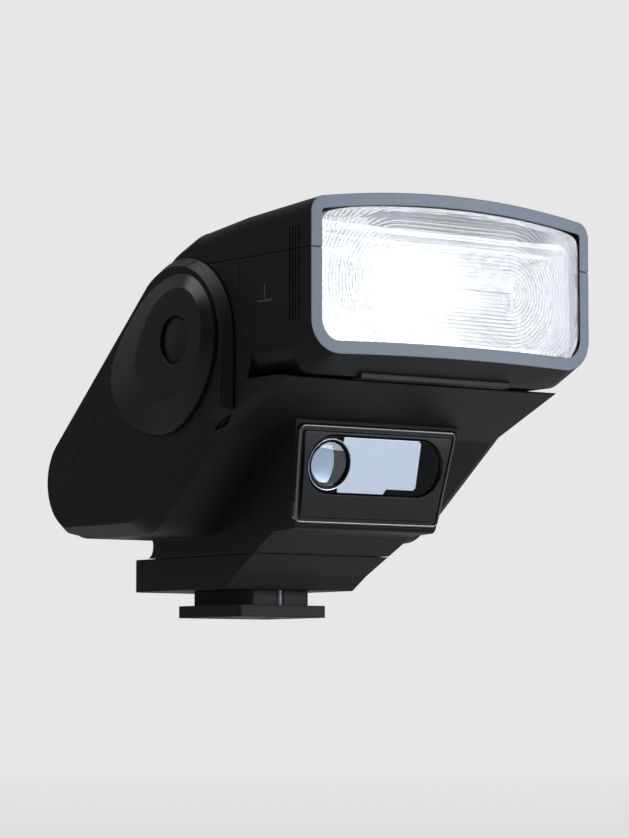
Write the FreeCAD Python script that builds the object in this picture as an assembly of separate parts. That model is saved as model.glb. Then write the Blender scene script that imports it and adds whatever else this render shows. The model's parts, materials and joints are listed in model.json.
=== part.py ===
"""Compact hot-shoe flash: every piece as its own solid, one STEP file for each node.

Frame: millimetres, +Z up.  The origin is the centre of the shoe foot's underside.
The light leaves towards -Y, so -Y is the front and +Y the rear; +X is the battery door's side.
Side outlines are (y, z) pairs in the plane X = 0 and are pushed out along X.
The sloping back has a frame of its own: x across, s down the slope, n out of it, from the tilt axis.
"""
import FreeCAD, Part
import math
import os

Vec = FreeCAD.Vector

# ---- overall sizes ----
BODY_HALF_WIDTH = 30.0
HEAD_HALF_WIDTH = 27.9
HEAD_BOTTOM_Z = 36.5
SEAM_Y = -35.7
PARTING_Z = 55.3

# ---- walls and running gaps ----
WALL = 1.6
REAR_WALL = 1.4
SEAM_GAP = 0.12
RUN_GAP = 0.3
SIDE_GAP = 0.3
PIN_CLEAR = 0.05

# ---- tilt axis and drum of the head ----
PIVOT_Y = -24.3
PIVOT_Z = 43.2
DRUM_R = 15.2
DRUM_CAP_R = 17.6
DRUM_CAP_END = 16.0
DOME_Y = -25.0
DOME_Z = 60.8
DOME_EDGE = 1.5
EAR_FRONT_Y = -33.4
EAR_BEVEL = 1.3
EAR_R = 12.9
HINGE_PIN_R = 3.0
HINGE_CAP_R = HINGE_PIN_R + 0.5
PIN_INNER_X = HEAD_HALF_WIDTH - 5.4
TILT_MAX = 90.0

# ---- sloping back ----
SLOPE_DEG = 41.6
SLOPE_TOP_S = 11.3
COVER_SEAM_N = 9.4

# ---- battery cells ----
CELL_R = 7.25
CELL_LENGTH = 50.5
CELL_START_X = 5.6 - BODY_HALF_WIDTH
CELL_BORE_R = 7.4
TRAY_R = 8.1
REAR_CELL = (9.0, 22.6)
FRONT_CELL = (-5.3, 26.0)
REAR_END_R = TRAY_R + 0.1 + REAR_WALL

# ---- underside of the case, pedestal and base ----
CHIN_TIP = (-47.5, 35.9)
CHIN_BACK = (-31.4, 29.0)
BELLY_FRONT = (-10.5, 13.0)
BEVEL_WIDTH = 3.2
BEVEL_DROP = 2.2
EDGE_ROUND = 1.4
PEDESTAL_TOP_HALF = 17.0
PEDESTAL_BASE_HALF = 13.0
PANEL_TOP = (-35.8, 30.8)
PANEL_BOTTOM = (-31.8, 13.5)
BASE_TOP_Z = 10.0
BASE_BOTTOM_Z = 4.5
BASE_FRONT_Y = -11.0
BASE_REAR_Y = 18.0

# ---- shoe foot ----
FOOT_WIDTH = 18.6
FOOT_LENGTH = 18.0
FOOT_THICK = 2.0
FOOT_NECK_WIDTH = 12.4

# ---- inside of the case ----
SIDE_INNER_X = HEAD_HALF_WIDTH + SIDE_GAP
INNER_HALF = BODY_HALF_WIDTH - 2.4
BELLY_WALL = 1.7
DOOR_OPENING_R = CELL_BORE_R + 0.25

# ---- controls on the slope ----
PANEL_HALF_X = 19.0
PANEL_S0 = 13.6
PANEL_S1 = 32.5
PANEL_SINK = 0.5
SWITCH_S = 25.5
SWITCH_STEM_HALF_S = 1.2
SWITCH_SLOT_HALF_X = 5.2
BUTTON_X = 12.5
BUTTON_S = 18.4
BUTTON_R = 3.2
LAMP_X = -12.5
LAMP_S = 18.4
LAMP_R = 1.6

# ---- front window panel ----
WINDOW_THICK = 1.0
WINDOW_MARGIN = 0.9
SLOT_HALF_X = 13.4
SLOT_HALF_Z = 4.6
SLOT_RISE = 1.7
LENS_R = 3.65
LENS_X = -9.2

# ---- hinge covers, caps and pins ----
EGG_HEIGHT = 2.5
EGG_TAIL_S = 20.4
EGG_TAIL_S_DOOR = 16.2
EGG_FOOT = ((20.4, 5.5), (18.2, 11.0), (11.5, 13.2), (3.5, 13.2), (-3.2, 11.0), (-7.7, 7.2), (-9.3, 2.0),
            (-8.0, -3.6), (-3.5, -8.0), (3.0, -10.0), (10.0, -9.4), (15.2, -6.0), (18.8, -0.8))
EGG_CREST = ((11.0, 2.8), (9.4, 5.4), (5.6, 7.2), (1.0, 8.0), (-3.6, 7.2), (-6.9, 4.7), (-8.2, 1.2),
             (-7.0, -3.0), (-3.4, -6.1), (1.8, -7.0), (6.6, -5.6), (9.6, -3.0), (11.0, -0.1))

# ---- base, foot and lock ----
LEVER_PIVOT_Y = 4.0
LEVER_Z0 = 5.9
LEVER_THICK = 1.9
LEVER_REACH = 16.2
LEVER_SWING = 38.0
LEVER_REST = 8.0
FOOT_PIN_R = 0.9
LOCK_PIN_Y = -7.4
CONTACTS = ((0.0, 0.0, 1.2), (-4.4, -3.2, 0.8), (-1.5, -5.4, 0.8), (1.5, -5.4, 0.8), (4.4, -3.2, 0.8))
CONTACT_TRAVEL = 0.5
SCREW_R = 0.7
CARRIER_Z = 4.6
CARRIER_THICK = 0.7
FOOT_SCREWS = ((-4.2, 6.0), (4.2, 6.0), (-4.2, 1.6), (4.2, 1.6))
RELEASE_X = -8.9
RELEASE_Z = 6.9

# ---- head: envelope, rear part with its drum, sleeve ----
BLOCK_FRONT_Y = -54.6
FRONT_BULGE = 1.4
HEAD_STATIONS = ((-57.5, 63.5, 1.75, 40.1, 5.5), (-49.5, 63.0, 1.7, HEAD_BOTTOM_Z, 5.0),
                 (-36.0, 62.1, 1.2, HEAD_BOTTOM_Z, 4.4), (DOME_Y, DOME_Z, 0.4, HEAD_BOTTOM_Z, 4.4),
                 (2.0, 60.0, 0.5, HEAD_BOTTOM_Z, 4.4))
SEAM_CORNERS = ((SEAM_Y, 48.6, 5.0), (-39.6, 41.2, 7.0), (-46.4, HEAD_BOTTOM_Z - 0.6, 0.0))
SLEEVE_HALF = HEAD_HALF_WIDTH - WALL - 0.4
SLEEVE_TOP = 60.0
SLEEVE_LOW = 39.9
SLEEVE_WALL = 0.8
SLEEVE_FRONT_Y = -52.2
SLEEVE_REAR_Y = -33.0

# ---- zoom block ----
RIM_WIDTH = 2.0
RIM_DEPTH = 1.5

# ---- reflector, tube and what fires it ----
TUBE_Y = -41.6
TUBE_Z = 50.0
TUBE_R = 2.0
TUBE_HALF = SLEEVE_HALF - 2.8
REFLECTOR_HALF = SLEEVE_HALF - 4.9
REFLECTOR_MOUTH_HALF = SLEEVE_HALF - 1.5
REFLECTOR_FRONT_Y = -50.6
REFLECTOR_WALL = 0.5

# ---- cells, tray, contacts and door ----
DOOR_THICK = 1.5
DOOR_LIFT = 0.1
DOOR_R = 8.5
DOOR_HINGE_DROP = 10.3
DOOR_PIN_R = 0.6
DOOR_PIN_X = BODY_HALF_WIDTH + 1.15

# ---- power switch, button, lamp and boards ----
CAPACITOR_R = 5.8
CAPACITOR = (-24.0, 21.1)


def vec(point, x=0.0):
    """A point of a side outline, at the given X."""
    return Vec(x, point[0], point[1])


def rounded_wire(corners, to_vector):
    """Closed wire through (a, b, radius) corners, each rounded by a tangent arc."""
    count = len(corners)
    starts, ends, mids = [], [], []
    for i in range(count):
        here = Vec(corners[i][0], corners[i][1], 0)
        radius = corners[i][2] if len(corners[i]) > 2 else 0.0
        back = Vec(corners[i - 1][0], corners[i - 1][1], 0) - here
        ahead = Vec(corners[(i + 1) % count][0], corners[(i + 1) % count][1], 0) - here
        back.normalize()
        ahead.normalize()
        if radius <= 0.0:
            starts.append(here)
            ends.append(here)
            mids.append(None)
            continue
        half = back.getAngle(ahead) / 2.0
        reach = radius / math.tan(half)
        middle = back + ahead
        middle.normalize()
        starts.append(here + back * reach)
        ends.append(here + ahead * reach)
        mids.append(here + middle * (radius / math.sin(half) - radius))
    edges = []
    for i in range(count):
        if mids[i] is not None:
            arc = Part.Arc(to_vector(starts[i]), to_vector(mids[i]), to_vector(ends[i]))
            edges.append(arc.toShape())
        target = starts[(i + 1) % count]
        if (target - ends[i]).Length > 1e-6:
            edges.append(Part.makeLine(to_vector(ends[i]), to_vector(target)))
    return Part.Wire(edges)


def side_wire(corners, x):
    """Rounded side outline of (y, z, radius) corners, in the plane X = x."""
    return rounded_wire(corners, lambda p: Vec(x, p.x, p.y))


def side_prism(corners, x0, x1):
    """Side outline pushed from x0 to x1."""
    return Part.Face(side_wire(corners, x0)).extrude(Vec(x1 - x0, 0, 0))


def front_prism(corners, y0, y1):
    """Front outline of (x, z, radius) corners pushed from y0 to y1."""
    wire = rounded_wire(corners, lambda p: Vec(p.x, y0, p.y))
    return Part.Face(wire).extrude(Vec(0, y1 - y0, 0))


def flat_prism(corners, z0, z1):
    """Outline of (x, y, radius) corners pushed from z0 to z1."""
    wire = rounded_wire(corners, lambda p: Vec(p.x, p.y, z0))
    return Part.Face(wire).extrude(Vec(0, 0, z1 - z0))


def rect(half_a, half_b, radius=0.0, centre=(0.0, 0.0)):
    """Corners of a rectangle about a centre."""
    a, b = centre
    return [(a - half_a, b - half_b, radius), (a + half_a, b - half_b, radius),
            (a + half_a, b + half_b, radius), (a - half_a, b + half_b, radius)]


def box(x0, x1, y0, y1, z0, z1):
    """Box from its limits."""
    return Part.makeBox(x1 - x0, y1 - y0, z1 - z0, Vec(x0, y0, z0))


def bar_x(radius, centre, x0, x1):
    """Round bar along X about a (y, z) centre."""
    return Part.makeCylinder(radius, x1 - x0, vec(centre, x0), Vec(1, 0, 0))


def fuse_all(shapes):
    """Union of a list of shapes, with coplanar faces joined."""
    whole = shapes[0]
    for shape in shapes[1:]:
        whole = whole.fuse(shape)
    return whole.removeSplitter()


def cut_all(shape, tools):
    """Shape less a list of tools."""
    for tool in tools:
        shape = shape.cut(tool)
    return shape


SLOPE_COS = math.cos(math.radians(SLOPE_DEG))
SLOPE_SIN = math.sin(math.radians(SLOPE_DEG))
PIVOT = (PIVOT_Y, PIVOT_Z)
SLOPE_FRAME = FreeCAD.Placement(vec(PIVOT), FreeCAD.Rotation(Vec(1, 0, 0), -SLOPE_DEG))


def slope_point(s, n):
    """(y, z) of a place given down the slope and out of it, from the tilt axis."""
    return (PIVOT_Y + s * SLOPE_COS + n * SLOPE_SIN, PIVOT_Z - s * SLOPE_SIN + n * SLOPE_COS)


def slope_coords(point):
    """(s, n) of a (y, z) place."""
    dy = point[0] - PIVOT_Y
    dz = point[1] - PIVOT_Z
    return (dy * SLOPE_COS - dz * SLOPE_SIN, dy * SLOPE_SIN + dz * SLOPE_COS)


SLOPE_N = slope_coords(REAR_CELL)[1] + REAR_END_R


def on_slope(shape):
    """Place a shape drawn in (x, s, n) on the sloping back."""
    placed = shape.copy()
    placed.Placement = SLOPE_FRAME.multiply(placed.Placement)
    return placed


def panel_frame():
    """Frame of the front window panel: x across, y up the panel, z out of it."""
    run = PANEL_TOP[0] - PANEL_BOTTOM[0]
    rise = PANEL_TOP[1] - PANEL_BOTTOM[1]
    tilt = math.degrees(math.atan2(rise, run))
    middle = ((PANEL_TOP[0] + PANEL_BOTTOM[0]) / 2.0, (PANEL_TOP[1] + PANEL_BOTTOM[1]) / 2.0)
    return FreeCAD.Placement(vec(middle), FreeCAD.Rotation(Vec(1, 0, 0), tilt))


def on_panel(shape):
    """Place a shape drawn in the panel's own frame."""
    placed = shape.copy()
    placed.Placement = panel_frame().multiply(placed.Placement)
    return placed


# ---- fixed case: outer form, hollow and the room that the head turns in ----
def case_wire(x, drop, shrink):
    """Side outline of the case at one X, its underside raised and its back drawn in."""
    rear_r = REAR_END_R - shrink
    slope_n = SLOPE_N - shrink
    tip = (CHIN_TIP[0] + 0.5 * drop, CHIN_TIP[1] + 0.9 * drop)
    back = (CHIN_BACK[0] + 0.6 * drop, CHIN_BACK[1] + 0.8 * drop)
    belly = (BELLY_FRONT[0] + 0.4 * drop, BELLY_FRONT[1] + 0.85 * drop)
    slope_end = slope_point(slope_coords(REAR_CELL)[0], slope_n)
    slope_start = slope_point(-EAR_R, slope_n)
    low = math.asin(min(1.0, (REAR_CELL[1] - belly[1]) / rear_r))
    rear_low = (REAR_CELL[0] + rear_r * math.cos(low), belly[1])
    rear_mid = (REAR_CELL[0] + rear_r, REAR_CELL[1])
    arc = Part.Arc(vec(rear_low, x), vec(rear_mid, x), vec(slope_end, x)).toShape()
    corners = [(tip, 0.0), (back, 4.0), (belly, 8.0), (rear_low, 0.0)]
    flat = [(p[0], p[1], r) for p, r in corners]
    lower = rounded_wire(flat, lambda p: Vec(x, p.x, p.y)).OrderedEdges[:-1]
    closing = [Part.makeLine(vec(slope_end, x), vec(slope_start, x)),
               Part.makeLine(vec(slope_start, x), vec(tip, x))]
    return Part.Wire(Part.__sortEdges__(list(lower) + [arc] + closing))


def case_solid():
    """Outer form of the case, its lower side edges bevelled."""
    flat_half = BODY_HALF_WIDTH - BEVEL_WIDTH
    solid = Part.Face(case_wire(-flat_half, 0.0, 0.0)).extrude(Vec(2 * flat_half, 0, 0))
    for side in (-1, 1):
        wires = [case_wire(side * (flat_half + t * BEVEL_WIDTH), t * BEVEL_DROP, EDGE_ROUND * t ** 3)
                 for t in (0.0, 0.55, 1.0)]
        solid = solid.fuse(Part.makeLoft(wires, True, True))
    return solid.removeSplitter()


def case_hollow():
    """Room inside the case walls."""
    x = INNER_HALF
    wire = case_wire(-x, BELLY_WALL, REAR_WALL)
    room = Part.Face(wire).extrude(Vec(2 * x, 0, 0))
    return room.cut(box(-x, x, -60, CHIN_BACK[0] - 1.0, 0, 80))


def pivot_sector(radius, from_deg, to_deg, half_width):
    """Slice of a round bar about the tilt axis, between two directions in the side view."""
    reach = 3.0 * radius
    steps = 6
    points = [vec(PIVOT, -half_width)]
    for i in range(steps + 1):
        turn = math.radians(from_deg + (to_deg - from_deg) * i / steps)
        points.append(vec((PIVOT_Y + reach * math.cos(turn), PIVOT_Z + reach * math.sin(turn)), -half_width))
    points.append(points[0])
    slice_ = Part.Face(Part.makePolygon(points)).extrude(Vec(2 * half_width, 0, 0))
    return slice_.common(bar_x(radius, PIVOT, -half_width, half_width))


def head_room():
    """Everything that the turning head needs clear inside the case."""
    half = SIDE_INNER_X
    drum = bar_x(DRUM_R + RUN_GAP, PIVOT, -half, half)
    cap = pivot_sector(DRUM_CAP_R + RUN_GAP, DRUM_CAP_END - TILT_MAX - 2.0, 60.0, half)
    front = side_prism([(-70, HEAD_BOTTOM_Z - RUN_GAP), (PIVOT_Y, HEAD_BOTTOM_Z - RUN_GAP),
                        (PIVOT_Y, 90), (-70, 90)], -half, half)
    lip_low = slope_point(SLOPE_TOP_S + 3.1, SLOPE_N - 4.3)
    lip_high = slope_point(SLOPE_TOP_S - 4.2, SLOPE_N + 5.9)
    top = side_prism([PIVOT, lip_low, lip_high, (PIVOT_Y, 90)], -half, half)
    return fuse_all([drum, cap, front, top])


def ear_wire(x):
    """Outline of a side plate at one X, drawn in a little as X grows."""
    out = (abs(x) - SIDE_INNER_X) / (BODY_HALF_WIDTH - SIDE_INNER_X)
    front = EAR_FRONT_Y + EAR_BEVEL * (out - 1.0)
    level = SLOPE_N + 0.05 - EDGE_ROUND * out
    high = (level - (front - PIVOT_Y) * SLOPE_SIN) / SLOPE_COS + PIVOT_Z
    tail = slope_point(70.0, level)
    corners = [(front, high, EAR_R + EAR_BEVEL * (1.0 - out)), (tail[0], tail[1], 0),
               (tail[0], -60.0, 0), (front, -60.0, 0)]
    return side_wire(corners, x)


def ear_envelope():
    """Everything that may stay of the case: all of it between the side plates, their rounded form outside."""
    middle = box(-SIDE_INNER_X, SIDE_INNER_X, -70, 40, -5, 90)
    plates = [Part.makeLoft([ear_wire(side * (SIDE_INNER_X - 0.5)), ear_wire(side * (BODY_HALF_WIDTH + 0.5))],
                            True, True) for side in (-1, 1)]
    return fuse_all([middle] + plates)


def pedestal_solid(inset=0.0):
    """Narrow foot of the case, from the window panel down to the base, with its draft."""
    i = inset
    corners = [(PANEL_TOP[0] + i, PANEL_TOP[1] + 2.0 - i, 0),
               (PANEL_BOTTOM[0] + 1.2 * i, PANEL_BOTTOM[1] + i, 1.0),
               (-25.7 + 0.5 * i, 13.2 + i, 2.0), (-14.4, 6.9 + i, 2.0),
               (BASE_FRONT_Y, BASE_BOTTOM_Z + i, 0.5),
               (BASE_REAR_Y - i, BASE_BOTTOM_Z + i, 0), (BASE_REAR_Y - i, BASE_TOP_Z, 0),
               (3.0 - i, BASE_TOP_Z, 2.5), (10.0 - i, 14.5, 0), (-4.0, 33.0 - i, 0)]
    side = side_prism(corners, -25, 25)
    top, base = PEDESTAL_TOP_HALF - i, PEDESTAL_BASE_HALF - i
    low, high = BASE_BOTTOM_Z, PANEL_TOP[1] + 3.0
    draft = front_prism([(-base, low), (base, low), (top, high), (-top, high)], -45, 25)
    return side.common(draft)


def slope_half_space(n0, n1):
    """Slab between two levels above the slope's own plane through the tilt axis."""
    return on_slope(box(-45, 45, -70, 80, n0, n1))


def battery_bores(radius, x0, x1):
    """Two round bars on the cells' axes."""
    return [bar_x(radius, REAR_CELL, x0, x1), bar_x(radius, FRONT_CELL, x0, x1)]


def cell_outline_prism(radius, x0, x1):
    """Slab whose outline runs round both cells at one radius."""
    dy = REAR_CELL[0] - FRONT_CELL[0]
    dz = REAR_CELL[1] - FRONT_CELL[1]
    span = math.hypot(dy, dz)
    ny, nz = -dz / span * radius, dy / span * radius
    corners = [(FRONT_CELL[0] + ny, FRONT_CELL[1] + nz), (REAR_CELL[0] + ny, REAR_CELL[1] + nz),
               (REAR_CELL[0] - ny, REAR_CELL[1] - nz), (FRONT_CELL[0] - ny, FRONT_CELL[1] - nz)]
    bars = battery_bores(radius, x0, x1)
    return fuse_all([side_prism(corners, x0, x1)] + bars)


def case_shell():
    """Case and pedestal together as one hollow form, before they are parted."""
    outer = fuse_all([case_solid(), pedestal_solid()])
    outer = outer.common(ear_envelope())
    hollow = fuse_all([case_hollow(), pedestal_solid(WALL).cut(box(-30, 30, -60, 30, 0, BASE_TOP_Z + 1.2))])
    opening = cell_outline_prism(DOOR_OPENING_R, INNER_HALF - 1, BODY_HALF_WIDTH + 1)
    return cut_all(outer, [hollow, head_room(), opening])


def rear_cover():
    """Sloping rear cover with the openings for its controls."""
    cover = case_shell().common(slope_half_space(COVER_SEAM_N + SEAM_GAP / 2, 60))
    seat = on_slope(box(-PANEL_HALF_X, PANEL_HALF_X, PANEL_S0, PANEL_S1,
                        SLOPE_N - PANEL_SINK, SLOPE_N + 2))
    shaft = on_slope(box(-SWITCH_SLOT_HALF_X, SWITCH_SLOT_HALF_X, SWITCH_S - SWITCH_STEM_HALF_S - 0.3,
                         SWITCH_S + SWITCH_STEM_HALF_S + 0.3, SLOPE_N - 3, SLOPE_N + 2))
    hole = on_slope(Part.makeCylinder(BUTTON_R + 0.15, 6, Vec(BUTTON_X, BUTTON_S, SLOPE_N - 3)))
    lamp = on_slope(Part.makeCylinder(LAMP_R + 0.05, 6, Vec(LAMP_X, LAMP_S, SLOPE_N - 3)))
    return cut_all(cover, [seat, shaft, hole, lamp])


def lower_housing():
    """Side walls, chin and pedestal in one moulding, with the seats for what goes through its walls."""
    shell = case_shell().common(slope_half_space(-80, COVER_SEAM_N - SEAM_GAP / 2))
    shell = shell.cut(box(-30, 30, -60, 30, 0, BASE_TOP_Z + SEAM_GAP / 2))
    seat = on_panel(window_plate(0.1, 4.0, -WINDOW_THICK))
    tools = [seat, slot_bar(SLOT_HALF_X - 0.6, SLOT_HALF_Z - 0.6, -4, 1), lens_bar(LENS_R - 0.4, -4, 1)]
    for side in (-1, 1):
        lo, hi = sorted((side * (SIDE_INNER_X - 1), side * (BODY_HALF_WIDTH + 1)))
        tools.append(bar_x(HINGE_PIN_R + PIN_CLEAR, PIVOT, lo, hi))
    return cut_all(shell, tools)


# ---- front window panel ----
def window_plate(grow, thick, z0):
    """Trapezoid of the window panel in its own frame, grown by a small margin."""
    half_h = math.hypot(PANEL_TOP[0] - PANEL_BOTTOM[0], PANEL_TOP[1] - PANEL_BOTTOM[1]) / 2.0
    top = PEDESTAL_TOP_HALF - WINDOW_MARGIN + grow
    low = PEDESTAL_TOP_HALF - WINDOW_MARGIN - 1.9 + grow
    h = half_h - WINDOW_MARGIN + grow
    return flat_prism([(-low, -h, 1.0), (low, -h, 1.0), (top, h, 1.0), (-top, h, 1.0)], z0, z0 + thick)


def slot_bar(half_x, half_z, z0, z1):
    """Round-ended bar of the signal window, in place."""
    corners = [(x, y + SLOT_RISE, half_z * 0.999) for x, y, r in rect(half_x, half_z)]
    return on_panel(flat_prism(corners, z0, z1))


def lens_bar(radius, z0, z1):
    """Round bar of the emitter's lens, in place."""
    return on_panel(Part.makeCylinder(radius, z1 - z0, Vec(LENS_X, SLOT_RISE, z0)))


def window_panel():
    """Glossy front plate with the slot for the signal window."""
    plate = on_panel(window_plate(0.0, WINDOW_THICK, -WINDOW_THICK + 0.05))
    return plate.cut(slot_bar(SLOT_HALF_X + 0.1, SLOT_HALF_Z + 0.1, -3, 3))


def signal_window():
    """Dark clear window in the panel's slot, with the hole for the emitter's lens."""
    bar = slot_bar(SLOT_HALF_X, SLOT_HALF_Z, -WINDOW_THICK + 0.05, -0.15)
    return bar.cut(lens_bar(LENS_R + 0.08, -3, 3))


def emitter_lens():
    """Low dome over the emitter."""
    dome_r = 9.0
    base = -WINDOW_THICK + 0.05
    rod = Part.makeCylinder(LENS_R, 3.0, Vec(LENS_X, SLOT_RISE, base))
    ball = Part.makeSphere(dome_r, Vec(LENS_X, SLOT_RISE, 0.55 - dome_r))
    return on_panel(rod.common(ball))


def emitter():
    """Infrared emitter behind the lens, with its flange."""
    can = Part.makeCylinder(2.4, 2.0, Vec(LENS_X, SLOT_RISE, -3.1))
    flange = Part.makeCylinder(2.9, 0.4, Vec(LENS_X, SLOT_RISE, -3.5))
    return on_panel(fuse_all([can, flange]))


# ---- hinge covers, caps and pins ----
def egg_wire(points, x, tail_s):
    """Egg outline of a hinge cover through (s, n) points, its tail drawn out or in along the slope."""
    stretch = tail_s / EGG_TAIL_S
    places = [slope_point(s * stretch if s > 0 else s, n) for s, n in points]
    curve = Part.BSplineCurve()
    curve.interpolate(Points=[vec(place, x) for place in places], PeriodicFlag=True)
    return Part.Wire([curve.toShape()])


def hinge_cover(side):
    """Raised cover over the hinge, with a sloped bevel and a round seat for its cap."""
    tail = EGG_TAIL_S_DOOR if side > 0 else EGG_TAIL_S
    base = BODY_HALF_WIDTH + 0.02
    shoulder = BODY_HALF_WIDTH + 0.7
    top = BODY_HALF_WIDTH + EGG_HEIGHT
    slab = Part.Face(egg_wire(EGG_FOOT, side * base, tail)).extrude(Vec(side * (shoulder - base), 0, 0))
    wires = [egg_wire(EGG_FOOT, side * shoulder, tail), egg_wire(EGG_CREST, side * top, tail)]
    cover = fuse_all([slab, Part.makeLoft(wires, True, True)])
    lo, hi = sorted((side * (top - 0.9), side * (top + 1)))
    seat = bar_x(HINGE_CAP_R + 0.45, PIVOT, lo, hi)
    lo, hi = sorted((side * (base - 1), side * (top + 1)))
    bore = bar_x(HINGE_PIN_R + PIN_CLEAR, PIVOT, lo, hi)
    return cover.cut(seat).cut(bore)


def hinge_cap(side):
    """Round cap over the pin's end, slightly crowned."""
    inner = BODY_HALF_WIDTH + EGG_HEIGHT - 0.88
    lo, hi = sorted((side * inner, side * (inner + 0.7)))
    cap = bar_x(HINGE_CAP_R, PIVOT, lo, hi)
    crown = Part.makeSphere(22.0, vec(PIVOT, side * (inner + 0.7 - 22.0)))
    return cap.common(crown)


def hinge_pin(side):
    """Pivot pin, fixed in the side wall, that the drum turns on."""
    lo, hi = sorted((side * PIN_INNER_X, side * (BODY_HALF_WIDTH + EGG_HEIGHT - 0.9)))
    return bar_x(HINGE_PIN_R, PIVOT, lo, hi)


# ---- base, foot and lock ----
def base_block():
    """Block between the pedestal and the foot, with the slot that the lock lever swings in."""
    block = pedestal_solid().common(box(-30, 30, -60, 30, BASE_BOTTOM_Z, BASE_TOP_Z - SEAM_GAP / 2))
    corners = [(-PEDESTAL_BASE_HALF - 1, -40, 0), (PEDESTAL_BASE_HALF + 1, -40, 0),
               (PEDESTAL_BASE_HALF + 0.6, BASE_REAR_Y, 4.5), (-PEDESTAL_BASE_HALF - 0.6, BASE_REAR_Y, 4.5)]
    block = block.common(flat_prism(corners, 0, 20))
    swing = lever_swept(0.35)
    bores = [Part.makeCylinder(FOOT_PIN_R + PIN_CLEAR, 5.5, Vec(0, LOCK_PIN_Y, 3)),
             Part.makeCylinder(1.5, 4.5, Vec(0, LEVER_PIVOT_Y, 3)),
             Part.makeCylinder(1.2, 6.0, Vec(0, LEVER_PIVOT_Y, 3))]
    bores += [Part.makeCylinder(SCREW_R, 4.0, Vec(x, y, 3)) for x, y in FOOT_SCREWS]
    bores += carrier_boxes(0.15, BASE_BOTTOM_Z - 1, CARRIER_Z + CARRIER_THICK + 0.1)
    release = box(RELEASE_X - 2.0, RELEASE_X + 2.0, BASE_REAR_Y - 4.2, BASE_REAR_Y + 2,
                  RELEASE_Z - 1.3, RELEASE_Z + 1.3)
    return cut_all(block, [swing] + bores + [release])


def lever_flat(angle, grow=0.0):
    """Lock lever at one angle: hub, arm and outer tab."""
    g = grow
    z0, thick = LEVER_Z0 - g, LEVER_THICK + 2 * g
    hub = Part.makeCylinder(3.4 + g, thick, Vec(0, 0, z0))
    arm = box(-2.2 - g, 2.2 + g, 0, LEVER_REACH - 2, z0, z0 + thick)
    tab = flat_prism([(-2.6 - g, LEVER_REACH - 4, 0), (2.6 + g, LEVER_REACH - 4, 0),
                      (3.0 + g, LEVER_REACH + g, 0.9), (-3.0 - g, LEVER_REACH + g, 0.9)], z0, z0 + thick)
    lever = fuse_all([hub, arm, tab])
    lever.rotate(Vec(0, 0, 0), Vec(0, 0, 1), angle)
    lever.translate(Vec(0, LEVER_PIVOT_Y, 0))
    return lever


def lever_swept(grow):
    """Room that the lever sweeps through."""
    steps = 8
    shapes = [lever_flat(LEVER_REST - LEVER_SWING * i / steps, grow) for i in range(steps + 1)]
    return fuse_all(shapes)


def carrier_boxes(grow, z0, z1):
    """Boxes of the contacts' carrier: a bar across the front pins and a tongue to the middle one."""
    g = grow
    return [box(-5.4 - g, 5.4 + g, -6.4 - g, -2.2 + g, z0, z1), box(-1.5 - g, 1.5 + g, -2.3, 1.4 + g, z0, z1)]


def shoe_foot():
    """Shoe foot: flat plate with chamfered leading corners, and its neck up to the base."""
    w, l = FOOT_WIDTH / 2.0, FOOT_LENGTH / 2.0
    plate = flat_prism([(-w, -l, 1.2), (w, -l, 1.2), (w, l, 1.2), (-w, l, 1.2)], 0, FOOT_THICK)
    n = FOOT_NECK_WIDTH / 2.0
    neck = flat_prism([(-n, -l + 0.8, 1.0), (n, -l + 0.8, 1.0), (n, l - 0.2, 1.0), (-n, l - 0.2, 1.0)],
                      FOOT_THICK, BASE_BOTTOM_Z)
    foot = fuse_all([plate, neck])
    tools = [Part.makeCylinder(r + 0.12, 9, Vec(x, y, -1)) for x, y, r in CONTACTS]
    tools.append(Part.makeCylinder(FOOT_PIN_R + PIN_CLEAR, 9, Vec(0, LOCK_PIN_Y, -1)))
    tools += carrier_boxes(0.15, CARRIER_Z - CONTACT_TRAVEL - 0.1, BASE_BOTTOM_Z + 1)
    for x, y in FOOT_SCREWS:
        tools.append(Part.makeCylinder(SCREW_R + 0.1, 9, Vec(x, y, -1)))
        tools.append(Part.makeCylinder(1.5, 1.4, Vec(x, y, -0.2)))
    return cut_all(foot, tools)


def foot_screws():
    """Four countersunk screws that hold the foot to the base."""
    shapes = []
    for x, y in FOOT_SCREWS:
        head = Part.makeCylinder(1.45, 0.9, Vec(x, y, 0.25))
        shank = Part.makeCylinder(SCREW_R - 0.01, 5.0, Vec(x, y, 0.25))
        slot_a = box(x - 0.8, x + 0.8, y - 0.15, y + 0.15, 0, 0.65)
        slot_b = box(x - 0.15, x + 0.15, y - 0.8, y + 0.8, 0, 0.65)
        shapes.append(cut_all(fuse_all([head, shank]), [slot_a, slot_b]))
    return Part.makeCompound(shapes)


def contact_pins():
    """Round-ended contact pins joined by the carrier that they slide with."""
    shapes = []
    for x, y, r in CONTACTS:
        shapes.append(Part.makeCylinder(r, CARRIER_Z + 0.2, Vec(x, y, 0.0)))
    return fuse_all(shapes + carrier_boxes(0.0, CARRIER_Z, CARRIER_Z + CARRIER_THICK))


def lock_pin():
    """Pin that drops into the shoe's hole when the lever is swung to lock."""
    return Part.makeCylinder(FOOT_PIN_R, 7.6, Vec(0, LOCK_PIN_Y, 0.1))


def lock_lever():
    """Swinging lever with finger ribs on its tab."""
    lever = lever_flat(0.0)
    lever.translate(Vec(0, -LEVER_PIVOT_Y, 0))
    for k in (-1, 0, 1):
        groove = box(k * 1.5 - 0.25, k * 1.5 + 0.25, LEVER_REACH - 0.35, LEVER_REACH + 1, 0, 20)
        lever = lever.cut(groove)
    lever = lever.cut(Part.makeCylinder(1.2 + PIN_CLEAR, 9, Vec(0, 0, 3)))
    lever.rotate(Vec(0, 0, 0), Vec(0, 0, 1), LEVER_REST)
    lever.translate(Vec(0, LEVER_PIVOT_Y, 0))
    return lever


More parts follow.
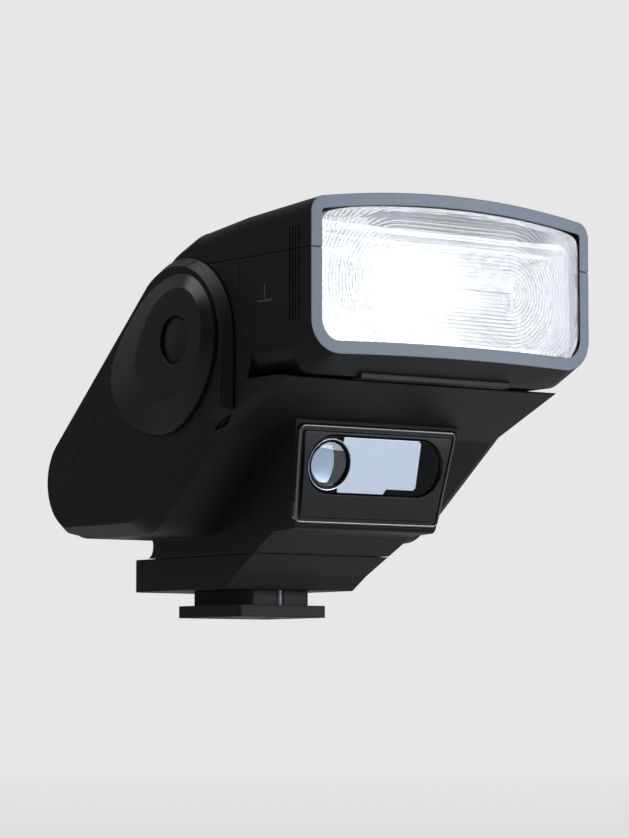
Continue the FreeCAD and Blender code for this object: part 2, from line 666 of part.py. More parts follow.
def lever_pivot():
    """Shouldered pin that the lock lever turns on."""
    return fuse_all([Part.makeCylinder(1.2, 4.2, Vec(0, LEVER_PIVOT_Y, BASE_BOTTOM_Z)),
                     Part.makeCylinder(1.5, 1.0, Vec(0, LEVER_PIVOT_Y, BASE_BOTTOM_Z))])


def lock_release_button():
    """Small button beside the lever that frees it."""
    cap = box(RELEASE_X - 1.85, RELEASE_X + 1.85, BASE_REAR_Y - 3.0, BASE_REAR_Y + 0.9,
              RELEASE_Z - 1.15, RELEASE_Z + 1.15)
    edges = [e for e in cap.Edges if abs(e.BoundBox.YMin - BASE_REAR_Y - 0.9) < 1e-6
             and abs(e.BoundBox.YMax - BASE_REAR_Y - 0.9) < 1e-6]
    return cap.makeFillet(0.35, edges)


# ---- head: envelope, rear part with its drum, sleeve ----
def head_section(y, top, crown, low, inset, corner):
    """Section of the head at one Y: flat sides, rounded corners and a crowned top."""
    half = HEAD_HALF_WIDTH - inset
    t, b = top - inset, low + inset
    rt, rb = max(2.6 - inset, 0.6), max(corner - inset, 0.6)
    diag = math.sqrt(0.5)
    p = [Vec(-half + rb, y, b), Vec(half - rb, y, b), Vec(half, y, b + rb), Vec(half, y, t - rt),
         Vec(half - rt, y, t), Vec(-half + rt, y, t), Vec(-half, y, t - rt), Vec(-half, y, b + rb)]
    m_low_r = Vec(half - rb + rb * diag, y, b + rb - rb * diag)
    m_top_r = Vec(half - rt + rt * diag, y, t - rt + rt * diag)
    m_top = Vec(0, y, t + crown)
    m_top_l = Vec(-m_top_r.x, y, m_top_r.z)
    m_low_l = Vec(-m_low_r.x, y, m_low_r.z)
    edges = [Part.makeLine(p[0], p[1]), Part.Arc(p[1], m_low_r, p[2]).toShape(), Part.makeLine(p[2], p[3]),
             Part.Arc(p[3], m_top_r, p[4]).toShape(), Part.Arc(p[4], m_top, p[5]).toShape(),
             Part.Arc(p[5], m_top_l, p[6]).toShape(), Part.makeLine(p[6], p[7]),
             Part.Arc(p[7], m_low_l, p[0]).toShape()]
    return Part.Wire(edges)


def head_envelope(inset=0.0):
    """Outer form of the head as a ruled loft through its sections."""
    wires = [head_section(y, top, crown, low, inset, corner) for y, top, crown, low, corner in HEAD_STATIONS]
    return Part.makeLoft(wires, True, True)


def seam_prism(gap, half=40.0):
    """Everything behind the zoom seam, set back by a gap."""
    corners = [(y + gap, z, r) for y, z, r in SEAM_CORNERS]
    tail = [(corners[-1][0], 10, 0), (40, 10, 0), (40, 90, 0), (SEAM_Y + gap, 90, 0)]
    return side_prism(corners + tail, -half, half)


def drum_prism(inset, half):
    """Round rear of the head: the drum and the larger sector that shows at the top."""
    drum = bar_x(DRUM_R - inset, PIVOT, -half, half)
    cap = pivot_sector(DRUM_CAP_R - inset, DRUM_CAP_END + (2.0 if inset else 0.0), 100.0, half)
    return fuse_all([drum, cap])


def dome_wire(x, inset):
    """Side outline that bounds the head's back: the slope's line, an arc about the axis, the roof's fall."""
    radius = SLOPE_N - inset
    run = DOME_Y - PIVOT_Y
    rise = DOME_Z - PIVOT_Z
    reach = math.hypot(run, rise)
    meet = math.atan2(rise, run) - math.acos(SLOPE_N / reach)
    first = math.radians(90.0 - SLOPE_DEG)

    def around(turn):
        """Place on the arc at one direction from the axis."""
        return (PIVOT_Y + radius * math.cos(turn), PIVOT_Z + radius * math.sin(turn))

    start, top = around(first), around(meet)
    low = slope_point(60.0, radius)
    far = (top[0] - 60.0 * math.sin(meet), top[1] + 60.0 * math.cos(meet))
    ends = [far, (far[0], -60.0), (low[0], -60.0), low, start]
    edges = [Part.Arc(vec(start, x), vec(around((first + meet) / 2.0), x), vec(top, x)).toShape(),
             Part.makeLine(vec(top, x), vec(far, x))]
    edges += [Part.makeLine(vec(a, x), vec(b, x)) for a, b in zip(ends[:-1], ends[1:])]
    return Part.Wire(edges)


def head_dome(inset):
    """Bounds of the head's back, with rounded edges towards the sides when it is not inset."""
    half = HEAD_HALF_WIDTH + 0.5
    flat_half = half if inset else HEAD_HALF_WIDTH - DOME_EDGE
    dome = Part.Face(dome_wire(-flat_half, inset)).extrude(Vec(2 * flat_half, 0, 0))
    if inset:
        return dome
    for side in (-1, 1):
        wires = [dome_wire(side * (flat_half + t * DOME_EDGE), DOME_EDGE * 0.7 * t * t)
                 for t in (0.0, 0.5, 1.0)]
        dome = dome.fuse(Part.makeLoft(wires, True, True))
    return dome.removeSplitter()


def head_rear(inset):
    """Rear part of the head as one solid, shrunk by an inset for its hollow."""
    half = HEAD_HALF_WIDTH - inset
    front = seam_prism(SEAM_GAP / 2 - (3.0 if inset else 0.0)).common(box(-40, 40, -70, PIVOT_Y, 0, 90))
    front = front.common(head_envelope(inset))
    drum = drum_prism(inset, half).common(seam_prism(SEAM_GAP / 2 + inset))
    roof = box(-45, 45, -80, 40, 0, 90).common(head_roof(inset))
    return fuse_all([front, drum.common(roof)]).common(head_dome(inset))


def head_roof(inset):
    """Envelope of the head with open sides and bottom, to trim the drum's top."""
    wires = [head_section(y, top, crown, -30.0, inset, 0.0) for y, top, crown, low, corner in HEAD_STATIONS]
    return Part.makeLoft(wires, True, True)


def head_shell():
    """Hollow rear part of the head with its pivot bosses."""
    shell = head_rear(0.0).cut(head_rear(WALL))
    bosses, bores = [], []
    for side in (-1, 1):
        lo, hi = sorted((side * (PIN_INNER_X + 0.3), side * (HEAD_HALF_WIDTH - 0.5)))
        bosses.append(bar_x(HINGE_PIN_R + 1.8, PIVOT, lo, hi))
        lo, hi = sorted((side * (PIN_INNER_X - 0.5), side * (HEAD_HALF_WIDTH + 1)))
        bores.append(bar_x(HINGE_PIN_R + PIN_CLEAR, PIVOT, lo, hi))
    return cut_all(fuse_all([shell] + bosses), bores)


def head_top_shell():
    """Upper shell of the head behind the zoom seam."""
    return head_shell().common(box(-40, 40, -80, 40, PARTING_Z + SEAM_GAP / 2, 90))


def head_drum():
    """Lower shell of the head with the drum that turns in the case."""
    return head_shell().common(box(-40, 40, -80, 40, 0, PARTING_Z - SEAM_GAP / 2))


def sleeve_prism(inset, y0, y1):
    """Rounded tube section of the sleeve."""
    h = SLEEVE_HALF - inset
    return front_prism([(-h, SLEEVE_LOW + inset, 2.5), (h, SLEEVE_LOW + inset, 2.5),
                        (h, SLEEVE_TOP - inset, 1.5), (-h, SLEEVE_TOP - inset, 1.5)], y0, y1)


def head_sleeve():
    """Sleeve that the zoom block slides on, fixed in the head's rear part."""
    tube = sleeve_prism(0.0, SLEEVE_FRONT_Y, SLEEVE_REAR_Y).cut(sleeve_prism(SLEEVE_WALL, -60, -20))
    return tube


# ---- zoom block ----
def front_face_slab(offset):
    """Everything behind the slightly bulged front face, set back by an offset."""
    y = BLOCK_FRONT_Y + offset
    arc = Part.Arc(Vec(-30, y, 0), Vec(0, y - FRONT_BULGE, 0), Vec(30, y, 0)).toShape()
    rear = [Vec(30, y, 0), Vec(30, 10, 0), Vec(-30, 10, 0), Vec(-30, y, 0)]
    edges = [arc] + [Part.makeLine(a, b) for a, b in zip(rear[:-1], rear[1:])]
    return Part.Face(Part.Wire(edges)).extrude(Vec(0, 0, 90))


def zoom_block():
    """Front block of the head: a rim round the window and walls back to the zoom seam."""
    outer = head_envelope().common(front_face_slab(0.0)).cut(seam_prism(-SEAM_GAP / 2))
    inner = head_envelope(WALL).common(front_face_slab(RIM_DEPTH))
    opening = head_envelope(RIM_WIDTH).common(box(-40, 40, -70, BLOCK_FRONT_Y + 6, 0, 90))
    block = cut_all(outer, [inner, opening])
    pad = box(-15, 15, -50.4, -48.1, HEAD_BOTTOM_Z - 0.4, HEAD_BOTTOM_Z + 1.0)
    return block.fuse(pad).removeSplitter()


def grip_ridges():
    """Upright ridges on both sides of the zoom block."""
    shapes = []
    for side in (-1, 1):
        for k in range(4):
            y = -51.4 + 0.75 * k
            lo, hi = sorted((side * (HEAD_HALF_WIDTH - 0.6), side * (HEAD_HALF_WIDTH + 0.22)))
            shapes.append(box(lo, hi, y - 0.16, y + 0.16, 44.5, 59.0))
    return shapes


def zoom_top_shell():
    """Upper half of the zoom block."""
    block = zoom_block().fuse(grip_ridges())
    return block.common(box(-40, 40, -80, 40, PARTING_Z + SEAM_GAP / 2, 90))


def zoom_bottom_shell():
    """Lower half of the zoom block."""
    block = zoom_block().fuse(grip_ridges())
    return block.common(box(-40, 40, -80, 40, 0, PARTING_Z - SEAM_GAP / 2))


def flash_panel():
    """Front lens: a clear plate in the rim, seated from behind on its flange."""
    depth = 0.25
    plate = head_envelope(RIM_WIDTH + 0.15).common(front_face_slab(depth))
    plate = plate.cut(front_face_slab(RIM_DEPTH + 0.1))
    flange = head_envelope(WALL + 0.1).common(front_face_slab(RIM_DEPTH + 0.1))
    flange = flange.cut(front_face_slab(RIM_DEPTH + 0.9))
    return fuse_all([plate, flange])


# ---- reflector, tube and what fires it ----
def reflector_trough(inset):
    """Trough round the tube, opening to the front."""
    i = inset
    corners = [(REFLECTOR_FRONT_Y, 41.3 + i, 0), (-38.6 - i, 45.6 + i, 4.2 - i),
               (-38.6 - i, 54.4 - i, 4.2 - i), (REFLECTOR_FRONT_Y, 58.5 - i, 0)]
    return side_prism(corners, -SLEEVE_HALF, SLEEVE_HALF)


def reflector_ends(inset):
    """Room between the slanted end walls."""
    mouth, back = REFLECTOR_MOUTH_HALF - inset, REFLECTOR_HALF - inset
    corners = [(-mouth, REFLECTOR_FRONT_Y, 0), (mouth, REFLECTOR_FRONT_Y, 0), (back, -38, 0), (-back, -38, 0)]
    return flat_prism(corners, 0, 90)


def reflector():
    """Polished trough with slanted end walls."""
    outer = reflector_trough(0.0).common(reflector_ends(0.0))
    inner = reflector_trough(REFLECTOR_WALL).common(reflector_ends(REFLECTOR_WALL))
    hole = bar_x(TUBE_R + 0.1, (TUBE_Y, TUBE_Z), -SLEEVE_HALF - 1, SLEEVE_HALF + 1)
    return cut_all(outer, [inner, hole])


def flash_tube():
    """Glass tube along the trough's focus."""
    return bar_x(TUBE_R, (TUBE_Y, TUBE_Z), -TUBE_HALF, TUBE_HALF)


def tube_holders():
    """Silicone boots at the tube's ends, seated in the sleeve."""
    shapes = []
    for side in (-1, 1):
        lo, hi = sorted((side * (TUBE_HALF + 0.1), side * (SLEEVE_HALF - SLEEVE_WALL - 0.02)))
        boot = bar_x(3.0, (TUBE_Y, TUBE_Z), lo, hi)
        shapes.append(boot)
    return Part.makeCompound(shapes)


def head_board():
    """Small board behind the reflector with its trigger coil."""
    board = box(-18, 18, -37.0, -35.8, SLEEVE_LOW + SLEEVE_WALL + 0.3, SLEEVE_TOP - SLEEVE_WALL - 0.3)
    coil = Part.makeCylinder(3.2, 7.0, Vec(8, -31.8, 52.0), Vec(1, 0, 0))
    foot = box(8, 15, -35.8, -31.5, 49.0, 55.0)
    return fuse_all([board, coil, foot])


# ---- cells, tray, contacts and door ----
def battery_tray():
    """Cradle for both cells behind the drum, open to the door's side."""
    x0, x1 = CELL_START_X - 2.6, CELL_START_X + CELL_LENGTH + 0.4
    body = cell_outline_prism(TRAY_R, x0, x1)
    clear = pivot_sector(DRUM_CAP_R + RUN_GAP + 0.1, -90.0, 60.0, 40)
    bores = battery_bores(CELL_BORE_R, CELL_START_X - 1.6, x1 + 1)
    relief = on_slope(box(-20.4, 20.4, 12.0, 29.2, SLOPE_N - 7.5, SLOPE_N))
    return cut_all(body, bores + [clear, relief])


def cell(centre, plus_at_door):
    """Round cell with its raised positive end."""
    length = CELL_LENGTH - 1.0
    x0 = CELL_START_X if plus_at_door else CELL_START_X + 1.0
    body = bar_x(CELL_R, centre, x0, x0 + length)
    body = body.makeFillet(0.6, [e for e in body.Edges if e.Length > 2 * CELL_R])
    nub = bar_x(2.7, centre, x0 + length - 0.2, x0 + length + 1.0)
    if not plus_at_door:
        nub = bar_x(2.7, centre, x0 - 1.0, x0 + 0.2)
    return fuse_all([body, nub])


def contact_springs():
    """Plate contacts at the closed end of the tray."""
    shapes = []
    for centre in (REAR_CELL, FRONT_CELL):
        plate = bar_x(4.5, centre, CELL_START_X - 1.5, CELL_START_X - 1.1)
        boss = bar_x(2.0, centre, CELL_START_X - 1.2, CELL_START_X - 1.02)
        shapes.append(fuse_all([plate, boss]))
    return Part.makeCompound(shapes)


def cell_line_frame():
    """Frame with y along the line of the two cells and z square to it, about their midpoint."""
    dy, dz = REAR_CELL[0] - FRONT_CELL[0], REAR_CELL[1] - FRONT_CELL[1]
    middle = ((REAR_CELL[0] + FRONT_CELL[0]) / 2.0, (REAR_CELL[1] + FRONT_CELL[1]) / 2.0)
    return FreeCAD.Placement(vec(middle), FreeCAD.Rotation(Vec(1, 0, 0), math.degrees(math.atan2(dz, dy))))


def on_cells(shape):
    """Place a shape drawn in the cells' line frame."""
    placed = shape.copy()
    placed.Placement = cell_line_frame().multiply(placed.Placement)
    return placed


def battery_door():
    """Door over the cells' openings, with grip ribs and hinge eyes on its lower edge."""
    x0 = BODY_HALF_WIDTH + DOOR_LIFT
    plate = cell_outline_prism(DOOR_R, x0, x0 + DOOR_THICK)
    rim = [e for e in plate.Edges if abs(e.BoundBox.XMin - x0 - DOOR_THICK) < 1e-6
           and abs(e.BoundBox.XMax - x0 - DOOR_THICK) < 1e-6]
    plate = plate.makeFillet(0.8, rim)
    for k in range(4):
        y = 8.0 + 1.3 * k
        groove = box(x0 + DOOR_THICK - 0.35, x0 + DOOR_THICK + 1, y, y + 0.6, -4.5, 4.5)
        plate = plate.cut(on_cells(groove))
    pin_z = -DOOR_HINGE_DROP
    eyes = []
    for y in (-4.6, 2.6):
        eye = Part.makeCylinder(1.1, 2.0, Vec(DOOR_PIN_X, y, pin_z), Vec(0, 1, 0))
        web = box(x0, x0 + DOOR_THICK, y, y + 2.0, pin_z, -DOOR_R + 1.0)
        eyes.append(on_cells(eye.fuse(web)))
    bore = on_cells(Part.makeCylinder(DOOR_PIN_R + PIN_CLEAR, 16, Vec(DOOR_PIN_X, -8, pin_z), Vec(0, 1, 0)))
    return fuse_all([plate] + eyes).cut(bore)


def door_contact():
    """Plated strip inside the door that joins the two cells."""
    strip = cell_outline_prism(3.2, BODY_HALF_WIDTH - 3.2, BODY_HALF_WIDTH - 2.9)
    return strip


def door_slider():
    """Runner with the hinge pin, sliding along the case's lower edge."""
    pin_z = -DOOR_HINGE_DROP
    pin = Part.makeCylinder(DOOR_PIN_R, 9.6, Vec(DOOR_PIN_X, -4.8, pin_z), Vec(0, 1, 0))
    lug = Part.makeCylinder(1.1, 4.6, Vec(DOOR_PIN_X, -2.3, pin_z), Vec(0, 1, 0))
    return on_cells(pin.fuse(lug))


# ---- power switch, button, lamp and boards ----
def control_panel():
    """Thin plate in the cover that the controls come up through."""
    t = PANEL_SINK + 0.15
    corners = [(-PANEL_HALF_X + 0.1, PANEL_S0 + 0.1, 2.0), (PANEL_HALF_X - 0.1, PANEL_S0 + 0.1, 2.0),
               (PANEL_HALF_X - 0.1, PANEL_S1 - 0.1, 2.0), (-PANEL_HALF_X + 0.1, PANEL_S1 - 0.1, 2.0)]
    plate = flat_prism(corners, SLOPE_N - PANEL_SINK, SLOPE_N - PANEL_SINK + t)
    slot = box(-SWITCH_SLOT_HALF_X - 1.6, SWITCH_SLOT_HALF_X + 1.6, SWITCH_S - 2.6, SWITCH_S + 2.6, 0, 30)
    hole = Part.makeCylinder(BUTTON_R + 0.2, 40, Vec(BUTTON_X, BUTTON_S, 0))
    lamp = Part.makeCylinder(LAMP_R + 0.1, 40, Vec(LAMP_X, LAMP_S, 0))
    return on_slope(cut_all(plate, [slot, hole, lamp]))


def power_switch():
    """Sliding knob with ribs, its stem and the slider plate beneath the cover."""
    s, n = SWITCH_S, SLOPE_N
    knob = box(-3.0, 3.0, s - 2.3, s + 2.3, n - 0.4, n + 1.5)
    knob = knob.makeChamfer(0.5, [e for e in knob.Edges if abs(e.BoundBox.ZMin - n - 1.5) < 1e-6])
    for k in (-1, 0, 1):
        knob = knob.cut(box(k * 1.6 - 0.3, k * 1.6 + 0.3, s - 3, s + 3, n + 1.1, n + 2))
    stem = box(-1.6, 1.6, s - SWITCH_STEM_HALF_S, s + SWITCH_STEM_HALF_S, n - 2.6, n)
    plate = box(-8.0, 8.0, s - 2.6, s + 2.6, n - REAR_WALL - 1.0, n - REAR_WALL - 0.2)
    return on_slope(fuse_all([knob, stem, plate]))


def release_button():
    """Round button with a retaining flange beneath the cover."""
    cap = Part.makeCylinder(BUTTON_R, 4.0, Vec(BUTTON_X, BUTTON_S, SLOPE_N - 2.8))
    cap = cap.makeFillet(0.4, [e for e in cap.Edges if abs(e.BoundBox.ZMin - SLOPE_N - 1.2) < 1e-6])
    flange = Part.makeCylinder(BUTTON_R + 0.9, 0.8, Vec(BUTTON_X, BUTTON_S, SLOPE_N - 2.8))
    return on_slope(fuse_all([cap, flange]))


def pilot_lamp():
    """Light pipe of the ready lamp."""
    pipe = Part.makeCylinder(LAMP_R, 3.4, Vec(LAMP_X, LAMP_S, SLOPE_N - 3.0))
    return on_slope(pipe)


def control_board():
    """Board under the controls with the switch and key bodies on it."""
    n = SLOPE_N - 7.2
    board = box(-20, 20, 14.0, 28.6, n, n + 1.0)
    key = box(BUTTON_X - 2, BUTTON_X + 2, BUTTON_S - 2, BUTTON_S + 2, n + 1.0, n + 3.3)
    slide = box(-6, 6, SWITCH_S - 2, SWITCH_S + 2, n + 1.0, n + 3.6)
    led = Part.makeCylinder(1.3, 2.6, Vec(LAMP_X, LAMP_S, n + 1.0))
    clear = Part.makeCylinder(DRUM_CAP_R + RUN_GAP + 0.2, 80, Vec(-40, 0, 0), Vec(1, 0, 0))
    return on_slope(fuse_all([board, key, slide, led]).cut(clear))


def main_capacitor():
    """Storage capacitor across the front of the pedestal."""
    can = bar_x(CAPACITOR_R, CAPACITOR, -12.4, 12.4)
    return can.makeFillet(0.7, [e for e in can.Edges if e.Length > 2 * CAPACITOR_R])


def main_board():
    """Main board across the pedestal's floor with its parts."""
    board = box(-11.0, 11.0, -16.5, 5.0, BASE_TOP_Z + 1.35, BASE_TOP_Z + 2.35)
    chip = box(-4.5, 2.5, -7.0, 0.0, BASE_TOP_Z + 2.35, BASE_TOP_Z + 3.4)
    return fuse_all([board, chip])


def converter_coil():
    """Step-up transformer on the main board."""
    z = BASE_TOP_Z + 2.4
    core = box(-6.0, 6.0, -16.3, -10.3, z, z + 5.6)
    winding = box(-4.0, 4.0, -17.0, -9.6, z + 1.2, z + 4.4)
    return fuse_all([core, winding])


NODES = {
    "shoe_foot": shoe_foot, "foot_screws": foot_screws, "contact_pins": contact_pins,
    "lock_pin": lock_pin, "lock_lever": lock_lever, "lever_pivot": lever_pivot,
    "lock_release_button": lock_release_button, "base_block": base_block,
    "lower_housing": lower_housing, "rear_cover": rear_cover,
    "window_panel": window_panel, "signal_window": signal_window, "emitter_lens": emitter_lens,
    "emitter": emitter,
    "hinge_cover_left": lambda: hinge_cover(-1), "hinge_cover_right": lambda: hinge_cover(1),
    "hinge_cap_left": lambda: hinge_cap(-1), "hinge_cap_right": lambda: hinge_cap(1),
    "hinge_pin_left": lambda: hinge_pin(-1), "hinge_pin_right": lambda: hinge_pin(1),
    "head_top_shell": head_top_shell, "head_drum": head_drum, "head_sleeve": head_sleeve,
    "zoom_top_shell": zoom_top_shell, "zoom_bottom_shell": zoom_bottom_shell, "flash_panel": flash_panel,
    "reflector": reflector, "flash_tube": flash_tube, "tube_holders": tube_holders, "head_board": head_board,
    "battery_tray": battery_tray, "cell_rear": lambda: cell(REAR_CELL, True),
    "cell_front": lambda: cell(FRONT_CELL, False), "contact_springs": contact_springs,
    "battery_door": battery_door, "door_contact": door_contact, "door_slider": door_slider,
    "control_panel": control_panel, "power_switch": power_switch, "release_button": release_button,
    "pilot_lamp": pilot_lamp, "control_board": control_board,
    "main_capacitor": main_capacitor, "main_board": main_board, "converter_coil": converter_coil,
}


def main():
    """Build every node and write it out."""
    os.makedirs("parts", exist_ok=True)
    for name, make in NODES.items():
        shape = make()
        shape.exportStep("parts/" + name + ".step")
        print(name, len(shape.Solids), "solids,", round(shape.Volume), "mm3")


main()
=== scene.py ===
"""Compact hot-shoe flash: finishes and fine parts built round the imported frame.

Units are metres, in the frame of the construction model: +Z up, the light leaves towards -Y.
Each sub-assembly is a class that holds its sizes, builds its meshes and dresses them.
"""
import json
import logging
import math
from dataclasses import dataclass, field
from enum import Enum
from typing import Sequence

import bmesh
import bpy
from mathutils import Matrix, Vector

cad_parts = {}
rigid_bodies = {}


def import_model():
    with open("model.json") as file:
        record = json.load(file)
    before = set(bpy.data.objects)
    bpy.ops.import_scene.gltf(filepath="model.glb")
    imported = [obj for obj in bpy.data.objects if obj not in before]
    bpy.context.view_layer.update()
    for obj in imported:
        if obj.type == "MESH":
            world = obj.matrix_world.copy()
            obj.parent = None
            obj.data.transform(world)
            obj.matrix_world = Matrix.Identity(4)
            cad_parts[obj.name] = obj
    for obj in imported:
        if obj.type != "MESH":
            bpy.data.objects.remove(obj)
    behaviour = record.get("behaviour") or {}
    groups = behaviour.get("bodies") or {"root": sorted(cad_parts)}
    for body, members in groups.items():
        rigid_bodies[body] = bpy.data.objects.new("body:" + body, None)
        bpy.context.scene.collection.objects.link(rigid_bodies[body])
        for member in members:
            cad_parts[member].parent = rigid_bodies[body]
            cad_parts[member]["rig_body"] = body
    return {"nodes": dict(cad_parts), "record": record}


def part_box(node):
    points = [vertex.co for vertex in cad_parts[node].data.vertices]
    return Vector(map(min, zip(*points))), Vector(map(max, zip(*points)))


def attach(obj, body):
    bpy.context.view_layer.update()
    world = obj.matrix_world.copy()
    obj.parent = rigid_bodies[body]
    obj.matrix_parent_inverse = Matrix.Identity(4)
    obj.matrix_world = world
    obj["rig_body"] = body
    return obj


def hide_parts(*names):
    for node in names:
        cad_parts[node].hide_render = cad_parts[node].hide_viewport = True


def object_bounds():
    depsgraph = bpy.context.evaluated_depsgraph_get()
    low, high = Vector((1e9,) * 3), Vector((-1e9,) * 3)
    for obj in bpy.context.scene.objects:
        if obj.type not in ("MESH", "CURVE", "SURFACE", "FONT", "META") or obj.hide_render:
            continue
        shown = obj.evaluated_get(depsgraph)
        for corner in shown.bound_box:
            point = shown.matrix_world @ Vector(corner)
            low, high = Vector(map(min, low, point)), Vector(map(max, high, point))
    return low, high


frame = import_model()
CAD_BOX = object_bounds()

log = logging.getLogger("flash")
MM = 0.001
Colour = tuple[float, float, float]
Outline = list[tuple[float, float]]


# ---------------------------------------------------------------- shader maths
class Sock:
    """A node socket, with Python operators that add Math nodes."""

    def __init__(self, graph: "NodeMaker", socket: object) -> None:
        """Wrap a socket of a tree."""
        self.graph = graph
        self.socket = socket

    def _math(self, operation: str, other: object = None, swapped: bool = False) -> "Sock":
        """Add one Math node.

        Args:
            operation: the node's operation.
            other: second operand, a number or another Sock.
            swapped: True puts the other operand first.

        Returns:
            The node's result.
        """
        first, second = (other, self) if swapped else (self, other)
        values = [v for v in (first, second) if v is not None]
        return self.graph.node("ShaderNodeMath", {"operation": operation}, dict(enumerate(values)))

    def __add__(self, other: object) -> "Sock":
        """Sum."""
        return self._math("ADD", other)

    __radd__ = __add__

    def __sub__(self, other: object) -> "Sock":
        """Difference."""
        return self._math("SUBTRACT", other)

    def __rsub__(self, other: object) -> "Sock":
        """Reflected difference."""
        return self._math("SUBTRACT", other, swapped=True)

    def __mul__(self, other: object) -> "Sock":
        """Product."""
        return self._math("MULTIPLY", other)

    __rmul__ = __mul__

    def __gt__(self, other: object) -> "Sock":
        """1 where this is the greater, else 0."""
        return self._math("GREATER_THAN", other)

    def __lt__(self, other: object) -> "Sock":
        """1 where this is the less, else 0."""
        return self._math("LESS_THAN", other)

    def sine(self) -> "Sock":
        """Sine of an angle in radians."""
        return self._math("SINE")

    def cosine(self) -> "Sock":
        """Cosine of an angle in radians."""
        return self._math("COSINE")

    def fraction(self) -> "Sock":
        """What is left above the whole number."""
        return self._math("FRACT")


class NodeMaker:
    """Adds nodes to a shader or geometry tree."""

    def __init__(self, tree: bpy.types.NodeTree) -> None:
        """Work on an empty tree."""
        self.tree = tree

    def node(self, kind: str, settings: dict | None = None, inputs: dict | None = None,
             output: object = 0) -> Sock:
        """Add one node.

        Args:
            kind: the node's type.
            settings: properties that are set before its sockets.
            inputs: socket name or number to value, Sock or None.
            output: name or number of the output to return.

        Returns:
            The chosen output.
        """
        made = self.tree.nodes.new(kind)
        for key, value in (settings or {}).items():
            setattr(made, key, value)
        for key, value in (inputs or {}).items():
            if isinstance(value, Sock):
                value = value.socket
            if isinstance(value, bpy.types.NodeSocket):
                self.tree.links.new(value, made.inputs[key])
            elif value is not None:
                made.inputs[key].default_value = value
        return Sock(self, made.outputs[output])

    def remap(self, value: Sock, low: float, high: float, to_low: float, to_high: float) -> Sock:
        """Map a range to another and clamp it."""
        sockets = {0: value, 1: low, 2: high, 3: to_low, 4: to_high}
        return self.node("ShaderNodeMapRange", inputs=sockets)

    def split(self, vector: Sock) -> tuple[Sock, Sock, Sock]:
        """A vector's x, y and z."""
        outputs = self.node("ShaderNodeSeparateXYZ", inputs={0: vector}).socket.node.outputs
        return tuple(Sock(self, outputs[i]) for i in range(3))


class Graph(NodeMaker):
    """A material's node tree."""

    def __init__(self, name: str) -> None:
        """Start an empty material with an output node.

        Args:
            name: the material's name.
        """
        self.material = bpy.data.materials.new(name)
        self.material.use_nodes = True
        super().__init__(self.material.node_tree)
        self.tree.nodes.clear()
        self.out = self.tree.nodes.new("ShaderNodeOutputMaterial")

    def position(self) -> Sock:
        """Object coordinates."""
        return self.node("ShaderNodeTexCoord", output="Object")

    def noise(self, scale: float, detail: float = 2.0, roughness: float = 0.5) -> Sock:
        """Noise on Object coordinates, 0 to 1."""
        sockets = {"Vector": self.position(), "Scale": scale, "Detail": detail, "Roughness": roughness}
        return self.node("ShaderNodeTexNoise", inputs=sockets)

    def blend(self, factor: object, first: object, second: object) -> Sock:
        """Mix two colours.

        Args:
            factor: share of the second one, a number or a Sock.
            first: a colour or a Sock.
            second: a colour or a Sock.

        Returns:
            The mixed colour.
        """
        def as_colour(c: object) -> object:
            """Four numbers from three."""
            return (*c, 1.0) if isinstance(c, tuple) and len(c) == 3 else c
        sockets = {"Factor": factor, 6: as_colour(first), 7: as_colour(second)}
        return self.node("ShaderNodeMix", {"data_type": "RGBA"}, sockets, output=2)

    def bump(self, height: Sock, strength: float, distance: float, normal: Sock | None = None) -> Sock:
        """Bump from a height that is in units of the distance."""
        sockets = {"Strength": strength, "Distance": distance, "Height": height, "Normal": normal}
        return self.node("ShaderNodeBump", inputs=sockets)

    def rounded(self, radius: float) -> Sock:
        """A normal that turns over each edge as if it were broken by a radius."""
        return self.node("ShaderNodeBevel", {"samples": 4}, {"Radius": radius})

    def edge_wear(self, radius: float) -> Sock:
        """0 on flat stretches, rising towards 1 within a radius of an outer edge.

        Args:
            radius: that radius, in metres.

        Returns:
            The amount.
        """
        bevel = self.rounded(radius)
        geometry = self.node("ShaderNodeNewGeometry", output="Normal")
        dot = self.node("ShaderNodeVectorMath", {"operation": "DOT_PRODUCT"}, {0: bevel, 1: geometry}, 1)
        return self.remap(dot, 1.0, 0.9, 0.0, 1.0)

    def principled(self, sockets: dict) -> Sock:
        """Principled shader."""
        return self.node("ShaderNodeBsdfPrincipled", inputs=sockets)

    def finish(self, shader: Sock) -> bpy.types.Material:
        """Link the shader to the output and hand over the material."""
        self.tree.links.new(shader.socket, self.out.inputs["Surface"])
        return self.material


